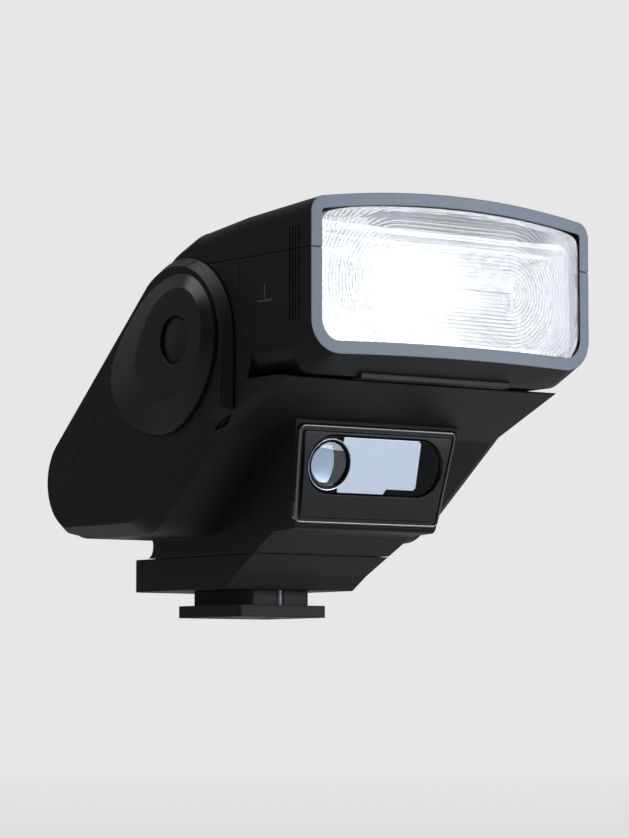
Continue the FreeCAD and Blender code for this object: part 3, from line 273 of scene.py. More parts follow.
# ---------------------------------------------------------------- finishes
@dataclass(frozen=True)
class MouldedPlastic:
    """Spark-eroded or polished moulded plastic.

    Attributes:
        name: the material's name.
        colour: base colour.
        rough: roughness of a clean stretch.
        grain: size of the eroded grain, in metres.
        depth: depth of that grain, in metres.
        edge: radius that the mould breaks each edge with, in metres.
        wear: how much a handled edge brightens, 0 to 1.
        coat: weight of the glossy skin.
        sheen: specular level; resin has 0.5, most mouldings here have less so that their black stays deep.
    """

    name: str
    colour: Colour
    rough: float = 0.5
    grain: float = 0.28 * MM
    depth: float = 0.012 * MM
    edge: float = 0.3 * MM
    wear: float = 0.5
    coat: float = 0.0
    sheen: float = 0.11

    def build(self) -> bpy.types.Material:
        """Make the material.

        Returns:
            The material.
        """
        g = Graph(self.name)
        mottle = g.noise(55.0, 4.0, 0.6)
        dust = g.noise(900.0, 2.0, 0.6)
        edge = g.edge_wear(self.edge) * g.remap(g.noise(240.0, 3.0), 0.42, 0.68, 0.0, 1.0)
        pale = tuple(min(1.0, c * 2.6 + 0.012) for c in self.colour)
        dark = tuple(c * 0.82 for c in self.colour)
        colour = g.blend(mottle, dark, tuple(c * 1.18 for c in self.colour))
        colour = g.blend(edge * self.wear, colour, pale)
        rough = self.rough + (mottle - 0.5) * 0.12 + (dust - 0.5) * 0.06 - edge * 0.12 * self.wear
        grain = g.noise(1.0 / self.grain, 2.0, 0.55)
        normal = g.bump(grain, 1.0, self.depth, g.rounded(self.edge))
        sockets = {"Base Color": colour, "Roughness": rough, "Normal": normal, "IOR": 1.5,
                   "Specular IOR Level": self.sheen, "Coat Weight": self.coat, "Coat Roughness": 0.06}
        return g.finish(g.principled(sockets))


@dataclass(frozen=True)
class PlatedMetal:
    """Drawn or turned metal with a plated skin.

    Attributes:
        name: the material's name.
        colour: colour of the skin.
        rough: roughness.
        grain: size of the rolling or turning marks, in metres.
        depth: depth of those marks, in metres.
        tarnish: how much the skin darkens in patches, 0 to 1.
        edge: radius of a broken edge, in metres.
        metal: metallic share; the rest is a milky white base.
        uneven: how much rougher the skin is in patches.
    """

    name: str
    colour: Colour
    rough: float = 0.28
    grain: float = 0.2 * MM
    depth: float = 0.003 * MM
    tarnish: float = 0.25
    edge: float = 0.1 * MM
    metal: float = 1.0
    uneven: float = 0.18

    def build(self) -> bpy.types.Material:
        """Make the material.

        Returns:
            The material.
        """
        g = Graph(self.name)
        patch = g.remap(g.noise(380.0, 4.0, 0.6), 0.45, 0.75, 0.0, 1.0)
        dull = tuple(c * 0.55 for c in self.colour)
        colour = g.blend(patch * self.tarnish, self.colour, dull)
        rough = self.rough + patch * self.uneven
        stretch = g.node("ShaderNodeMapping", inputs={"Vector": g.position(), "Scale": (1.0, 1.0, 9.0)})
        sockets = {"Vector": stretch, "Scale": 0.25 / self.grain, "Detail": 3.0}
        marks = g.node("ShaderNodeTexNoise", inputs=sockets)
        normal = g.bump(marks, 1.0, self.depth, g.rounded(self.edge))
        return g.finish(g.principled({"Base Color": colour, "Roughness": rough, "Metallic": self.metal,
                                      "Normal": normal}))


@dataclass(frozen=True)
class ClearMoulding:
    """Clear or tinted transparent moulding.

    Attributes:
        name: the material's name.
        colour: tint.
        rough: roughness.
        transmission: share of light that passes.
        ior: refractive index.
        haze: depth of a fine surface ripple, in metres.
    """

    name: str
    colour: Colour
    rough: float = 0.06
    transmission: float = 1.0
    ior: float = 1.49
    haze: float = 0.002 * MM

    def build(self) -> bpy.types.Material:
        """Make the material.

        Returns:
            The material.
        """
        g = Graph(self.name)
        ripple = g.noise(620.0, 2.0)
        smear = g.remap(g.noise(90.0, 3.0, 0.6), 0.4, 0.75, 0.0, 0.08)
        return g.finish(g.principled({"Base Color": (*self.colour, 1.0), "Roughness": smear + self.rough,
                                      "Transmission Weight": self.transmission, "IOR": self.ior,
                                      "Normal": g.bump(ripple, 1.0, self.haze)}))


@dataclass(frozen=True)
class Laminate:
    """Circuit board: solder mask over copper tracks and glass weave.

    Attributes:
        name: the material's name.
        colour: the mask's colour.
        track: the mask's colour over copper.
    """

    name: str
    colour: Colour
    track: Colour

    def build(self) -> bpy.types.Material:
        """Make the material.

        Returns:
            The material.
        """
        g = Graph(self.name)
        cells = {"Vector": g.position(), "Scale": 520.0}
        traces = g.node("ShaderNodeTexVoronoi", {"distance": "CHEBYCHEV"}, cells)
        mask = g.remap(traces, 0.40, 0.44, 0.0, 1.0)
        weave = g.noise(2600.0, 1.0)
        colour = g.blend(mask, self.colour, self.track)
        return g.finish(g.principled({"Base Color": colour, "Roughness": 0.32 + weave * 0.1,
                                      "Normal": g.bump(mask + weave * 0.3, 1.0, 0.02 * MM)}))


@dataclass(frozen=True)
class BandedWrap:
    """Shrink sleeve round a cylinder along X: plain colour with one band.

    Attributes:
        name: the material's name.
        colour: colour of the sleeve.
        band: colour of the band.
        start: where the band starts along X, in metres.
        end: where it ends, in metres.
        wrap_from: where the sleeve starts; the metal before it is bare.
        wrap_to: where the sleeve ends.
        metal: metallic share of the sleeve.
    """

    name: str
    colour: Colour
    band: Colour
    start: float
    end: float
    wrap_from: float
    wrap_to: float
    metal: float = 0.0

    def build(self) -> bpy.types.Material:
        """Make the material.

        Returns:
            The material.
        """
        g = Graph(self.name)
        x = g.split(g.position())[0]
        inside = (x > self.start) * (x < self.end)
        scuff = g.remap(g.noise(420.0, 4.0, 0.65), 0.5, 0.8, 0.0, 0.35)
        colour = g.blend(inside, self.colour, self.band)
        colour = g.blend(scuff, colour, tuple(c * 0.6 + 0.05 for c in self.colour))
        bare = 1.0 - (x > self.wrap_from) * (x < self.wrap_to)
        colour = g.blend(bare, colour, (0.56, 0.55, 0.52))
        return g.finish(g.principled({"Base Color": colour, "Roughness": 0.3 + scuff * 0.5,
                                      "Metallic": bare * (1.0 - self.metal) + self.metal,
                                      "Coat Weight": (1.0 - bare) * 0.4,
                                      "Normal": g.bump(g.noise(160.0, 2.0), 1.0, 0.03 * MM)}))


class Finish(Enum):
    """The finishes of this flash, one for each of the record's material slots and a few fine parts."""

    SHELL = MouldedPlastic("body_eroded_black", (0.0050, 0.0049, 0.0043), 0.44)
    HEAD_SHELL = MouldedPlastic("head_eroded_black", (0.0046, 0.0045, 0.0041), 0.42)
    ZOOM_SHELL = MouldedPlastic("nose_eroded_black", (0.0043, 0.0042, 0.0040), 0.40)
    HINGE_TRIM = MouldedPlastic("cheek_satin_black", (0.0054, 0.0053, 0.0046), 0.34, depth=0.006 * MM,
                                sheen=0.16)
    DOOR = MouldedPlastic("door_eroded_black", (0.0053, 0.0052, 0.0046), 0.45)
    # painted reflection: the nose's rim is black plastic, and this pale slate colour stands in for front
    # light reflected off it
    RIM_PAINTED_REFLECTION = MouldedPlastic("nose_rim_painted_reflection", (0.088, 0.111, 0.145), 0.36, depth=0.004 * MM, wear=0.25,
                           sheen=0.24)
    GLOSS = MouldedPlastic("panel_piano_black", (0.0034, 0.0040, 0.0048), 0.2, depth=0.0012 * MM,
                           edge=0.12 * MM, wear=0.1, coat=0.1, sheen=0.26)
    # partly painted highlight: the lip's paler base colour stands in for highlight along the panel's edge;
    # its gloss gives real highlights too
    LIP = MouldedPlastic("panel_lip_black_painted_highlight", (0.03, 0.033, 0.038), 0.13, depth=0.001 * MM,
                         edge=0.1 * MM, wear=0.0, coat=1.0, sheen=0.5)
    DARK = MouldedPlastic("window_dark_gloss", (0.0012, 0.0013, 0.0015), 0.16, depth=0.001 * MM,
                          edge=0.15 * MM, wear=0.0, sheen=0.1)
    BUTTON = MouldedPlastic("button_satin_black", (0.0125, 0.012, 0.011), 0.38, depth=0.008 * MM)
    PLATE = MouldedPlastic("plate_matt_charcoal", (0.017, 0.0175, 0.018), 0.52, grain=0.16 * MM)
    FOOT = MouldedPlastic("foot_filled_nylon", (0.0085, 0.0085, 0.0085), 0.5, grain=0.2 * MM)
    LEVER = MouldedPlastic("lever_satin_black", (0.015, 0.0147, 0.014), 0.42)
    INNER = MouldedPlastic("inner_plain_black", (0.012, 0.012, 0.0128), 0.6)
    SILICONE = MouldedPlastic("holder_silicone", (0.62, 0.60, 0.56), 0.6, depth=0.004 * MM, wear=0.0)
    FERRITE = MouldedPlastic("core_ferrite", (0.03, 0.031, 0.034), 0.62, grain=0.12 * MM)
    LEGEND = MouldedPlastic("legend_white_ink", (0.62, 0.63, 0.62), 0.55, depth=0.002 * MM, wear=0.0)
    MARK = MouldedPlastic("mark_grey_relief", (0.034, 0.036, 0.034), 0.5, depth=0.004 * MM, wear=0.2)
    STEEL = PlatedMetal("screw_zinc_black", (0.32, 0.325, 0.33), 0.34)
    PIN = PlatedMetal("lock_pin_blued", (0.075, 0.078, 0.085), 0.42)
    CONTACT = PlatedMetal("contact_gold_flash", (0.83, 0.62, 0.28), 0.24, tarnish=0.15)
    SPRING = PlatedMetal("spring_nickel", (0.60, 0.585, 0.55), 0.3, tarnish=0.08, uneven=0.03)
    REFLECTOR = PlatedMetal("reflector_bright", (0.96, 0.965, 0.97), 0.26, tarnish=0.0, depth=0.004 * MM,
                            metal=0.62)
    FLARE = PlatedMetal("flare_bright", (0.94, 0.95, 0.95), 0.34, tarnish=0.0, depth=0.003 * MM, metal=0.3)
    SILVER = PlatedMetal("window_silvered", (0.52, 0.60, 0.70), 0.22, tarnish=0.0, grain=0.1 * MM,
                         depth=0.0016 * MM, metal=0.9, uneven=0.015)
    CLEAR = ClearMoulding("lens_clear_acrylic", (0.98, 0.99, 1.0), 0.07, 0.84)
    COVER = ClearMoulding("window_smoked", (0.84, 0.88, 0.93), 0.02)
    GLASS = ClearMoulding("tube_clear_glass", (0.97, 0.98, 0.97), 0.02, ior=1.46)
    LAMP = ClearMoulding("lamp_amber", (0.95, 0.42, 0.16), 0.18, 0.6)
    BOARD = Laminate("board_green", (0.012, 0.07, 0.03), (0.03, 0.15, 0.06))
    DARK_BOARD = Laminate("board_black_mask", (0.008, 0.009, 0.0085), (0.016, 0.018, 0.017))
    CAN = BandedWrap("capacitor_shrink_sleeve", (0.025, 0.027, 0.032), (0.5, 0.5, 0.48), 6.0 * MM, 8.5 * MM,
                     -12.1 * MM, 12.1 * MM)
    CELL = BandedWrap("cell_wrap_flat_end", (0.045, 0.05, 0.055), (0.62, 0.5, 0.22), 14.0 * MM, 22.0 * MM,
                      -23.3 * MM, 25.9 * MM, 0.3)
    CELL_TURNED = BandedWrap("cell_wrap_button_end", (0.045, 0.05, 0.055), (0.62, 0.5, 0.22), -20.3 * MM,
                             -12.3 * MM, -24.2 * MM, 25.2 * MM, 0.3)

    @property
    def material(self) -> bpy.types.Material:
        """The finish's Blender material, made the first time it is asked for."""
        found = bpy.data.materials.get(self.value.name)
        return found or self.value.build()


# ---------------------------------------------------------------- meshes
@dataclass(frozen=True)
class Place:
    """A flat place on the object.

    Attributes:
        origin: its middle.
        u: direction to its right.
        v: direction up along it.
    """

    origin: Vector
    u: Vector
    v: Vector

    @property
    def n(self) -> Vector:
        """Outward normal."""
        return self.u.cross(self.v)

    def at(self, u: float, v: float, n: float = 0.0) -> Vector:
        """A point from its distances along the three directions."""
        return self.origin + self.u * u + self.v * v + self.n * n

    def off(self, point: Vector) -> tuple[float, float, float]:
        """A point's distances along the three directions."""
        offset = point - self.origin
        return offset.dot(self.u), offset.dot(self.v), offset.dot(self.n)

    def matrix(self, u: float, v: float, n: float) -> Matrix:
        """The transform that lays a flat thing on this place."""
        turned = Matrix((self.u, self.v, self.n)).transposed().to_4x4()
        return Matrix.Translation(self.at(u, v, n)) @ turned


def place_on(node: str, toward: Vector, right: Vector) -> Place:
    """Find the largest flat stretch of a node that faces one way.

    Args:
        node: name of the node.
        toward: rough outward direction.
        right: rough direction to the right.

    Returns:
        The place, at the middle of the node's box, dropped on to that stretch.
    """
    mesh = frame["nodes"][node].data
    faces = [p for p in mesh.polygons if p.normal.dot(toward.normalized()) > 0.93]
    largest = max(faces, key=lambda p: p.area)
    normal = largest.normal.copy()
    low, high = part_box(node)
    middle = (low + high) / 2
    origin = middle - normal * (middle - largest.center).dot(normal)
    u = (right - normal * right.dot(normal)).normalized()
    return Place(origin, u, normal.cross(u))


def cleaned(node: str) -> bpy.types.Mesh:
    """Copy a node's mesh, join its loose triangles and merge flat ones.

    Args:
        node: name of the node.

    Returns:
        A new mesh, smooth but for its sharp edges.
    """
    work = bmesh.new()
    work.from_mesh(frame["nodes"][node].data)
    bmesh.ops.remove_doubles(work, verts=work.verts, dist=0.002 * MM)
    bmesh.ops.dissolve_degenerate(work, edges=work.edges, dist=0.001 * MM)
    bmesh.ops.dissolve_limit(work, angle_limit=math.radians(0.15), verts=work.verts, edges=work.edges)
    mesh = bpy.data.meshes.new(node + "_skin")
    finished(work, mesh, 26.0)
    return mesh


def finished(work: bmesh.types.BMesh, mesh: bpy.types.Mesh, crease: float) -> None:
    """Write a bmesh to a mesh, smooth but sharp where it turns by more than an angle.

    Args:
        work: the bmesh, which is freed.
        mesh: the mesh that takes it.
        crease: that angle in degrees.
    """
    for layer in [work.loops.layers.float_vector, work.loops.layers.float]:
        for name in [n for n in layer.keys() if "normal" in n]:
            layer.remove(layer[name])
    limit = math.radians(crease)
    for face in work.faces:
        face.smooth = True
    for edge in work.edges:
        edge.smooth = len(edge.link_faces) == 2 and edge.calc_face_angle() < limit
    work.to_mesh(mesh)
    work.free()
    stale = mesh.attributes.get("custom_normal")
    if stale:
        mesh.attributes.remove(stale)


def linked(name: str, data: bpy.types.ID) -> bpy.types.Object:
    """Make an object of a mesh, curve, lamp or camera and put it in the scene.

    Args:
        name: the object's name.
        data: what it is made of.

    Returns:
        The object.
    """
    made = bpy.data.objects.new(name, data)
    bpy.context.scene.collection.objects.link(made)
    return made


def closed(work: bmesh.types.BMesh, name: str, crease: float) -> bpy.types.Mesh:
    """Turn a bmesh's faces outwards and make it a mesh.

    Args:
        work: the bmesh, which is freed.
        name: the mesh's name.
        crease: angle in degrees from which an edge is sharp.

    Returns:
        The mesh.
    """
    bmesh.ops.recalc_face_normals(work, faces=work.faces)
    mesh = bpy.data.meshes.new(name)
    finished(work, mesh, crease)
    return mesh


def banded(work: bmesh.types.BMesh, low: Sequence, high: Sequence) -> None:
    """Join two loops of vertices by a band of faces; where they meet in a point, by triangles.

    Args:
        work: the bmesh that they are in.
        low: the vertices of one loop.
        high: as many vertices, those of the other.
    """
    for i in range(len(low)):
        j = (i + 1) % len(low)
        corners = list(dict.fromkeys((low[i], low[j], high[j], high[i])))
        if len(corners) > 2:
            work.faces.new(corners)


def rounded_outline(half_u: float, half_v: float, radius: float, steps: int = 8) -> Outline:
    """Points of a rounded rectangle, anticlockwise.

    Args:
        half_u: half its width.
        half_v: half its height.
        radius: its corners.
        steps: chords to each corner.

    Returns:
        The points.
    """
    points = []
    for corner in range(4):
        side_u = 1 if corner in (0, 3) else -1
        side_v = 1 if corner < 2 else -1
        for i in range(steps + 1):
            a = math.pi / 2 * (corner + i / steps)
            points.append((side_u * (half_u - radius) + radius * math.cos(a),
                           side_v * (half_v - radius) + radius * math.sin(a)))
    return points


def plate(name: str, place: Place, outline: Sequence[tuple[float, float]], bottom: float, top: float,
          broken: float = 0.0) -> bpy.types.Mesh:
    """A flat plate with a broken upper edge.

    Args:
        name: the mesh's name.
        place: where it lies.
        outline: its points on that place.
        bottom: height of its underside.
        top: height of its face.
        broken: how far its upper edge is cut back.

    Returns:
        The mesh.
    """
    centre_u = sum(p[0] for p in outline) / len(outline)
    centre_v = sum(p[1] for p in outline) / len(outline)
    reach = max(math.hypot(u - centre_u, v - centre_v) for u, v in outline)
    rings = [(1.0, bottom), (1.0, top - broken), (1.0 - 0.3 * broken / reach, top - 0.3 * broken),
             (1.0 - broken / reach, top)] if broken else [(1.0, bottom), (1.0, top)]
    work = bmesh.new()
    loops = []
    for share, height in rings:
        loops.append([work.verts.new(place.at(centre_u + (u - centre_u) * share,
                                              centre_v + (v - centre_v) * share, height))
                      for u, v in outline])
    for low, high in zip(loops, loops[1:]):
        banded(work, low, high)
    work.faces.new(loops[-1])
    work.faces.new(list(reversed(loops[0])))
    return closed(work, name, 30.0)


def laid_out(node: str, place: Place) -> list[Vector]:
    """A node's vertices as distances along a place's three directions."""
    return [Vector(place.off(v.co)) for v in frame["nodes"][node].data.vertices]


def inset(corners: Outline, by: float) -> Outline:
    """Move each side of a convex, anticlockwise outline inwards.

    Args:
        corners: its corners.
        by: how far.

    Returns:
        The new corners.
    """
    moved = []
    for i, (u, v) in enumerate(corners):
        after = corners[(i + 1) % len(corners)]
        inward = []
        for (au, av), (bu, bv) in ((corners[i - 1], (u, v)), ((u, v), after)):
            length = math.hypot(bu - au, bv - av)
            inward.append((-(bv - av) / length, (bu - au) / length))
        share = by / (1.0 + inward[0][0] * inward[1][0] + inward[0][1] * inward[1][1])
        moved.append((u + (inward[0][0] + inward[1][0]) * share, v + (inward[0][1] + inward[1][1]) * share))
    return moved


def rounded_polygon(corners: Outline, radius: float, steps: int = 6) -> Outline:
    """Round the corners of a convex, anticlockwise outline.

    Args:
        corners: its corners.
        radius: the radius.
        steps: chords to each corner.

    Returns:
        The points.
    """
    points = []
    for i, (hub_u, hub_v) in enumerate(inset(corners, radius)):
        (bu, bv), (u, v), (au, av) = corners[i - 1], corners[i], corners[(i + 1) % len(corners)]
        start = math.atan2(bu - u, v - bv)
        turn = (math.atan2(u - au, av - v) - start) % math.tau
        for k in range(steps + 1):
            angle = start + turn * k / steps
            points.append((hub_u + radius * math.cos(angle), hub_v + radius * math.sin(angle)))
    return points


def inset_round(outline: Outline, by: float) -> Outline:
    """Shrink an outline about its middle by a small distance."""
    far = max(math.hypot(u, v) for u, v in outline)
    return [(u * (1.0 - by / far), v * (1.0 - by / far)) for u, v in outline]


def reach(outline: Outline, centre: tuple[float, float], angle: float) -> float:
    """Distance from a point inside an outline to the outline, along an angle.

    Args:
        outline: its points.
        centre: the point.
        angle: the angle, in radians.

    Returns:
        The distance.
    """
    du, dv = math.cos(angle), math.sin(angle)
    far = 0.0
    for (pu, pv), (qu, qv) in zip(outline, [*outline[1:], outline[0]]):
        pu, pv, qu, qv = pu - centre[0], pv - centre[1], qu - centre[0], qv - centre[1]
        p_side, q_side = pu * dv - pv * du, qu * dv - qv * du
        if (p_side > 0.0) != (q_side > 0.0):
            share = p_side / (p_side - q_side)
            far = max(far, (pu + (qu - pu) * share) * du + (pv + (qv - pv) * share) * dv)
    return far


@dataclass(frozen=True)
class Ring:
    """One ring of a body that is built up in rings seen from one middle.

    Attributes:
        outline: its shape.
        height: how high it lies.
        toward: second shape that it is blended with.
        share: how far it is blended with it.
        crown: how much higher it is half way up than at the top and bottom.
    """

    outline: Outline
    height: float
    toward: Outline | None = None
    share: float = 0.0
    crown: float = 0.0


def ringed(name: str, place: Place, centre: tuple[float, float], rings: Sequence[Ring], half: float = 1.0,
           steps: int = 96, capped: bool = False) -> bpy.types.Mesh:
    """A closed body from rings.

    Args:
        name: the mesh's name.
        place: where it lies.
        centre: the middle that every ring is seen from.
        rings: the rings, from the back over the outer edge and the face inwards.
        half: half the height over which a crown falls to nothing.
        steps: even steps round it, besides the corners of the first and last ring.
        capped: True closes the two ends, False leaves an opening through it.

    Returns:
        The mesh.
    """
    corners = [*rings[0].outline, *rings[-1].outline]
    angles = [math.atan2(v - centre[1], u - centre[0]) % math.tau for u, v in corners]
    ordered: list[float] = []
    for angle in sorted([*angles, *(math.tau * i / steps for i in range(steps))]):
        if (not ordered or angle - ordered[-1] > 0.004) and angle < math.tau - 0.004:
            ordered.append(angle)
    work = bmesh.new()
    loops = []
    for ring in rings:
        loop = []
        for angle in ordered:
            far = reach(ring.outline, centre, angle)
            if ring.toward:
                far += (reach(ring.toward, centre, angle) - far) * ring.share
            u, v = centre[0] + far * math.cos(angle), centre[1] + far * math.sin(angle)
            loop.append(work.verts.new(place.at(u, v, ring.height + ring.crown * (1.0 - (v / half) ** 2))))
        loops.append(loop)
    for low, high in [*zip(loops, loops[1:]), *([] if capped else [(loops[-1], loops[0])])]:
        banded(work, low, high)
    for loop, ring in ((loops[0], rings[0]), (loops[-1], rings[-1])) if capped else ():
        hub = work.verts.new(place.at(*centre, ring.height))
        for near, after in zip(loop, [*loop[1:], loop[0]]):
            work.faces.new((hub, near, after))
    return closed(work, name, 28.0)


def turned(name: str, place: Place, profile: Outline, centre: tuple[float, float] = (0, 0),
           steps: int = 48) -> bpy.types.Mesh:
    """A solid of revolution about a place's normal.

    Args:
        name: the mesh's name.
        place: where it stands.
        profile: (radius, height) points from its axis or inner rim outwards and round.
        centre: its middle on the place.
        steps: sides.

    Returns:
        The mesh.
    """
    work = bmesh.new()
    rows = []
    for radius, height in profile:
        if radius < 1e-9:
            rows.append([work.verts.new(place.at(*centre, height))] * steps)
            continue
        rows.append([work.verts.new(place.at(centre[0] + radius * math.cos(2 * math.pi * i / steps),
                                             centre[1] + radius * math.sin(2 * math.pi * i / steps), height))
                     for i in range(steps)])
    hollow = profile[0][0] > 1e-9
    for low, high in [*zip(rows, rows[1:]), *([(rows[-1], rows[0])] if hollow else [])]:
        banded(work, low, high)
    return closed(work, name, 35.0)


def lettering(name: str, text: str, place: Place, at: tuple[float, float], height: float,
              relief: float) -> bpy.types.Mesh:
    """Printed characters.

    Args:
        name: the mesh's name.
        text: the characters.
        place: where they lie.
        at: their middle on the place.
        height: height of a capital.
        relief: thickness of the ink.

    Returns:
        The mesh.
    """
    curve = bpy.data.curves.new(name, "FONT")
    curve.body = text
    curve.size = height / 0.7
    curve.extrude = relief / 2
    curve.align_x = "CENTER"
    curve.align_y = "CENTER"
    curve.resolution_u = 4
    holder = linked(name, curve)
    mesh = bpy.data.meshes.new_from_object(holder.evaluated_get(bpy.context.evaluated_depsgraph_get()))
    bpy.data.objects.remove(holder)
    mesh.transform(place.matrix(*at, relief / 2))
    return mesh


# ---------------------------------------------------------------- geometry nodes
class Grower(NodeMaker):
    """A Geometry Nodes tree with named inputs that ends in Realize Instances and Set Material."""

    KINDS = {float: "NodeSocketFloat", int: "NodeSocketInt"}

    def __init__(self, name: str, values: dict[str, object]) -> None:
        """Start a tree.

        Args:
            name: the tree's name.
            values: named inputs and what they are set to.
        """
        super().__init__(bpy.data.node_groups.new(name, "GeometryNodeTree"))
        self.values = values
        face = self.tree.interface
        face.new_socket("Geometry", in_out="INPUT", socket_type="NodeSocketGeometry")
        face.new_socket("Geometry", in_out="OUTPUT", socket_type="NodeSocketGeometry")
        for label, value in values.items():
            face.new_socket(label, in_out="INPUT", socket_type=self.KINDS[type(value)])
        self.source = self.tree.nodes.new("NodeGroupInput")

    def given(self, label: str) -> Sock:
        """A named input."""
        return Sock(self, self.source.outputs[label])

    def vector(self, x: object, y: object, z: object) -> Sock:
        """A vector from three numbers or sockets."""
        return self.node("ShaderNodeCombineXYZ", inputs={0: x, 1: y, 2: z})

    def grow(self, name: str, shape: Sock, finish: Finish,
             base: bpy.types.Mesh | None = None) -> bpy.types.Object:
        """Close the tree, run it and keep the result as a plain mesh.

        Args:
            name: the piece's name.
            shape: the geometry to hand over.
            finish: what it is made of.
            base: mesh that the tree works on.

        Returns:
            The object, with no modifier left.
        """
        real = self.node("GeometryNodeRealizeInstances", inputs={0: shape})
        dressed = self.node("GeometryNodeSetMaterial", inputs={"Geometry": real, "Material": finish.material})
        out = self.tree.nodes.new("NodeGroupOutput")
        self.tree.links.new(dressed.socket, out.inputs[0])
        made = linked(name, base or bpy.data.meshes.new(name))
        modifier = made.modifiers.new("grow", "NODES")
        modifier.node_group = self.tree
        sockets = {s.name: s.identifier for s in self.tree.interface.items_tree if s.in_out == "INPUT"}
        for label, value in self.values.items():
            modifier[sockets[label]] = value
        graph = bpy.context.evaluated_depsgraph_get()
        mesh = bpy.data.meshes.new_from_object(made.evaluated_get(graph), depsgraph=graph)
        made.modifiers.clear()
        made.data = mesh
        return made


# ---------------------------------------------------------------- sub-assemblies
SLOT_OF = {row["node"]: row["material_slot"] for row in frame["record"]["subparts"]}
BODY_OF = {name: node["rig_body"] for name, node in frame["nodes"].items()}
FRONT = Vector((0.0, -1.0, 0.0))
RIGHT = Vector((1.0, 0.0, 0.0))


class SubAssembly:
    """What every sub-assembly does with its meshes."""

    def add(self, made: bpy.types.Object, body: str, slot: str, *nodes: str) -> bpy.types.Object:
        """Hand a finished piece over to the frame.

        Args:
            made: the piece.
            body: body that it moves with.
            slot: the record's material slot; not used.
            nodes: nodes that it stands for.

        Returns:
            The piece.
        """
        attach(made, body)
        if nodes:
            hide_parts(*nodes)
        log.info("%s: %s, %d faces on %s", type(self).__name__, made.name, len(made.data.polygons), body)
        return made

    def piece(self, mesh: bpy.types.Mesh, finish: Finish, body: str, slot: str,
              *nodes: str) -> bpy.types.Object:
        """Make an object of a mesh and hand it over.

        Args:
            mesh: the mesh, whose name the piece takes.
            finish: what it is made of.
            body: body that it moves with.
            slot: the record's material slot.
            nodes: nodes that it stands for.

        Returns:
            The piece.
        """
        mesh.materials.clear()
        mesh.materials.append(finish.material)
        return self.add(linked(mesh.name, mesh), body, slot, *nodes)

    def skin(self, node: str, finish: Finish) -> bpy.types.Object:
        """Replace a node by a copy with joined faces and even shading.

        Args:
            node: name of the node.
            finish: what it is made of.

        Returns:
            The piece.
        """
        made = self.piece(cleaned(node), finish, BODY_OF[node], SLOT_OF[node], node)
        even = made.modifiers.new("even", "WEIGHTED_NORMAL")
        even.keep_sharp = True
        return made

    def dress(self, finish: Finish, *nodes: str) -> None:
        """Give nodes that keep their own mesh a finish.

        Args:
            finish: what they are made of.
            nodes: names of the nodes.
        """
        for node in nodes:
            target = frame["nodes"][node]
            target.data.materials.clear()
            target.data.materials.append(finish.material)
            log.info("%s: %s keeps its mesh", type(self).__name__, node)


@dataclass
class HeadShells(SubAssembly):
    """Shells of the tilting head and of its pull-out nose.

    Attributes:
        rim_depth: how far behind the front a forward face may lie and still take the rim's painted
            reflection.
        mark: height of the small index mark on the side.
        mark_back: how far it stands in front of the nose's rear edge.
        mark_down: how far its middle lies under the nose's top.
        mark_half: half the width of its bars.
    """

    rim_depth: float = 2.4 * MM
    mark: float = 2.6 * MM
    mark_back: float = 6.9 * MM
    mark_down: float = 7.2 * MM
    mark_half: float = 0.16 * MM

    def build(self) -> None:
        """Make every piece."""
        for node in ("head_top_shell", "head_drum"):
            self.skin(node, Finish.HEAD_SHELL)
        for node in ("zoom_top_shell", "zoom_bottom_shell"):
            self.paint_rim_reflection(self.skin(node, Finish.ZOOM_SHELL))
        for side in (-1, 1):
            self.index_mark(side)
        self.dress(Finish.INNER, "head_sleeve")
        self.dress(Finish.BOARD, "head_board")

    def paint_rim_reflection(self, nose: bpy.types.Object) -> None:
        """Paint the rim's forward-facing faces pale slate, a painted reflection of front light on the black
        nose.

        Args:
            nose: piece of the nose shell.
        """
        nose.data.materials.append(Finish.RIM_PAINTED_REFLECTION.material)
        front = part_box("zoom_bottom_shell")[0].y
        for face in nose.data.polygons:
            # painted reflection: forward-facing rim faces take the pale slate colour
            if face.normal.dot(FRONT) > 0.9 and face.center.y < front + self.rim_depth:
                face.material_index = 1

    def index_mark(self, side: int) -> None:
        """Raised bar on a foot, moulded on the flank of the nose.

        Args:
            side: -1 for the left flank, 1 for the right one.
        """
        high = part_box("zoom_bottom_shell")[1]
        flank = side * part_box("head_drum")[1].x
        origin = Vector((flank, high.y - self.mark_back, high.z - self.mark_down))
        place = Place(origin, Vector((0.0, side, 0.0)), Vector((0.0, 0.0, 1.0)))
        thin = self.mark_half
        foot = rounded_outline(0.75 * self.mark, thin, 0.1 * MM, 3)
        bar = [(u, v + 0.5 * self.mark) for u, v in rounded_outline(thin, 0.5 * self.mark, 0.1 * MM, 3)]
        tag = "left" if side < 0 else "right"
        for part, outline in (("foot", foot), ("bar", bar)):
            mesh = plate(f"index_{part}_{tag}", place, outline, -0.05 * MM, 0.06 * MM, 0.03 * MM)
            self.piece(mesh, Finish.MARK, "zoom_block", "zoom_shell")


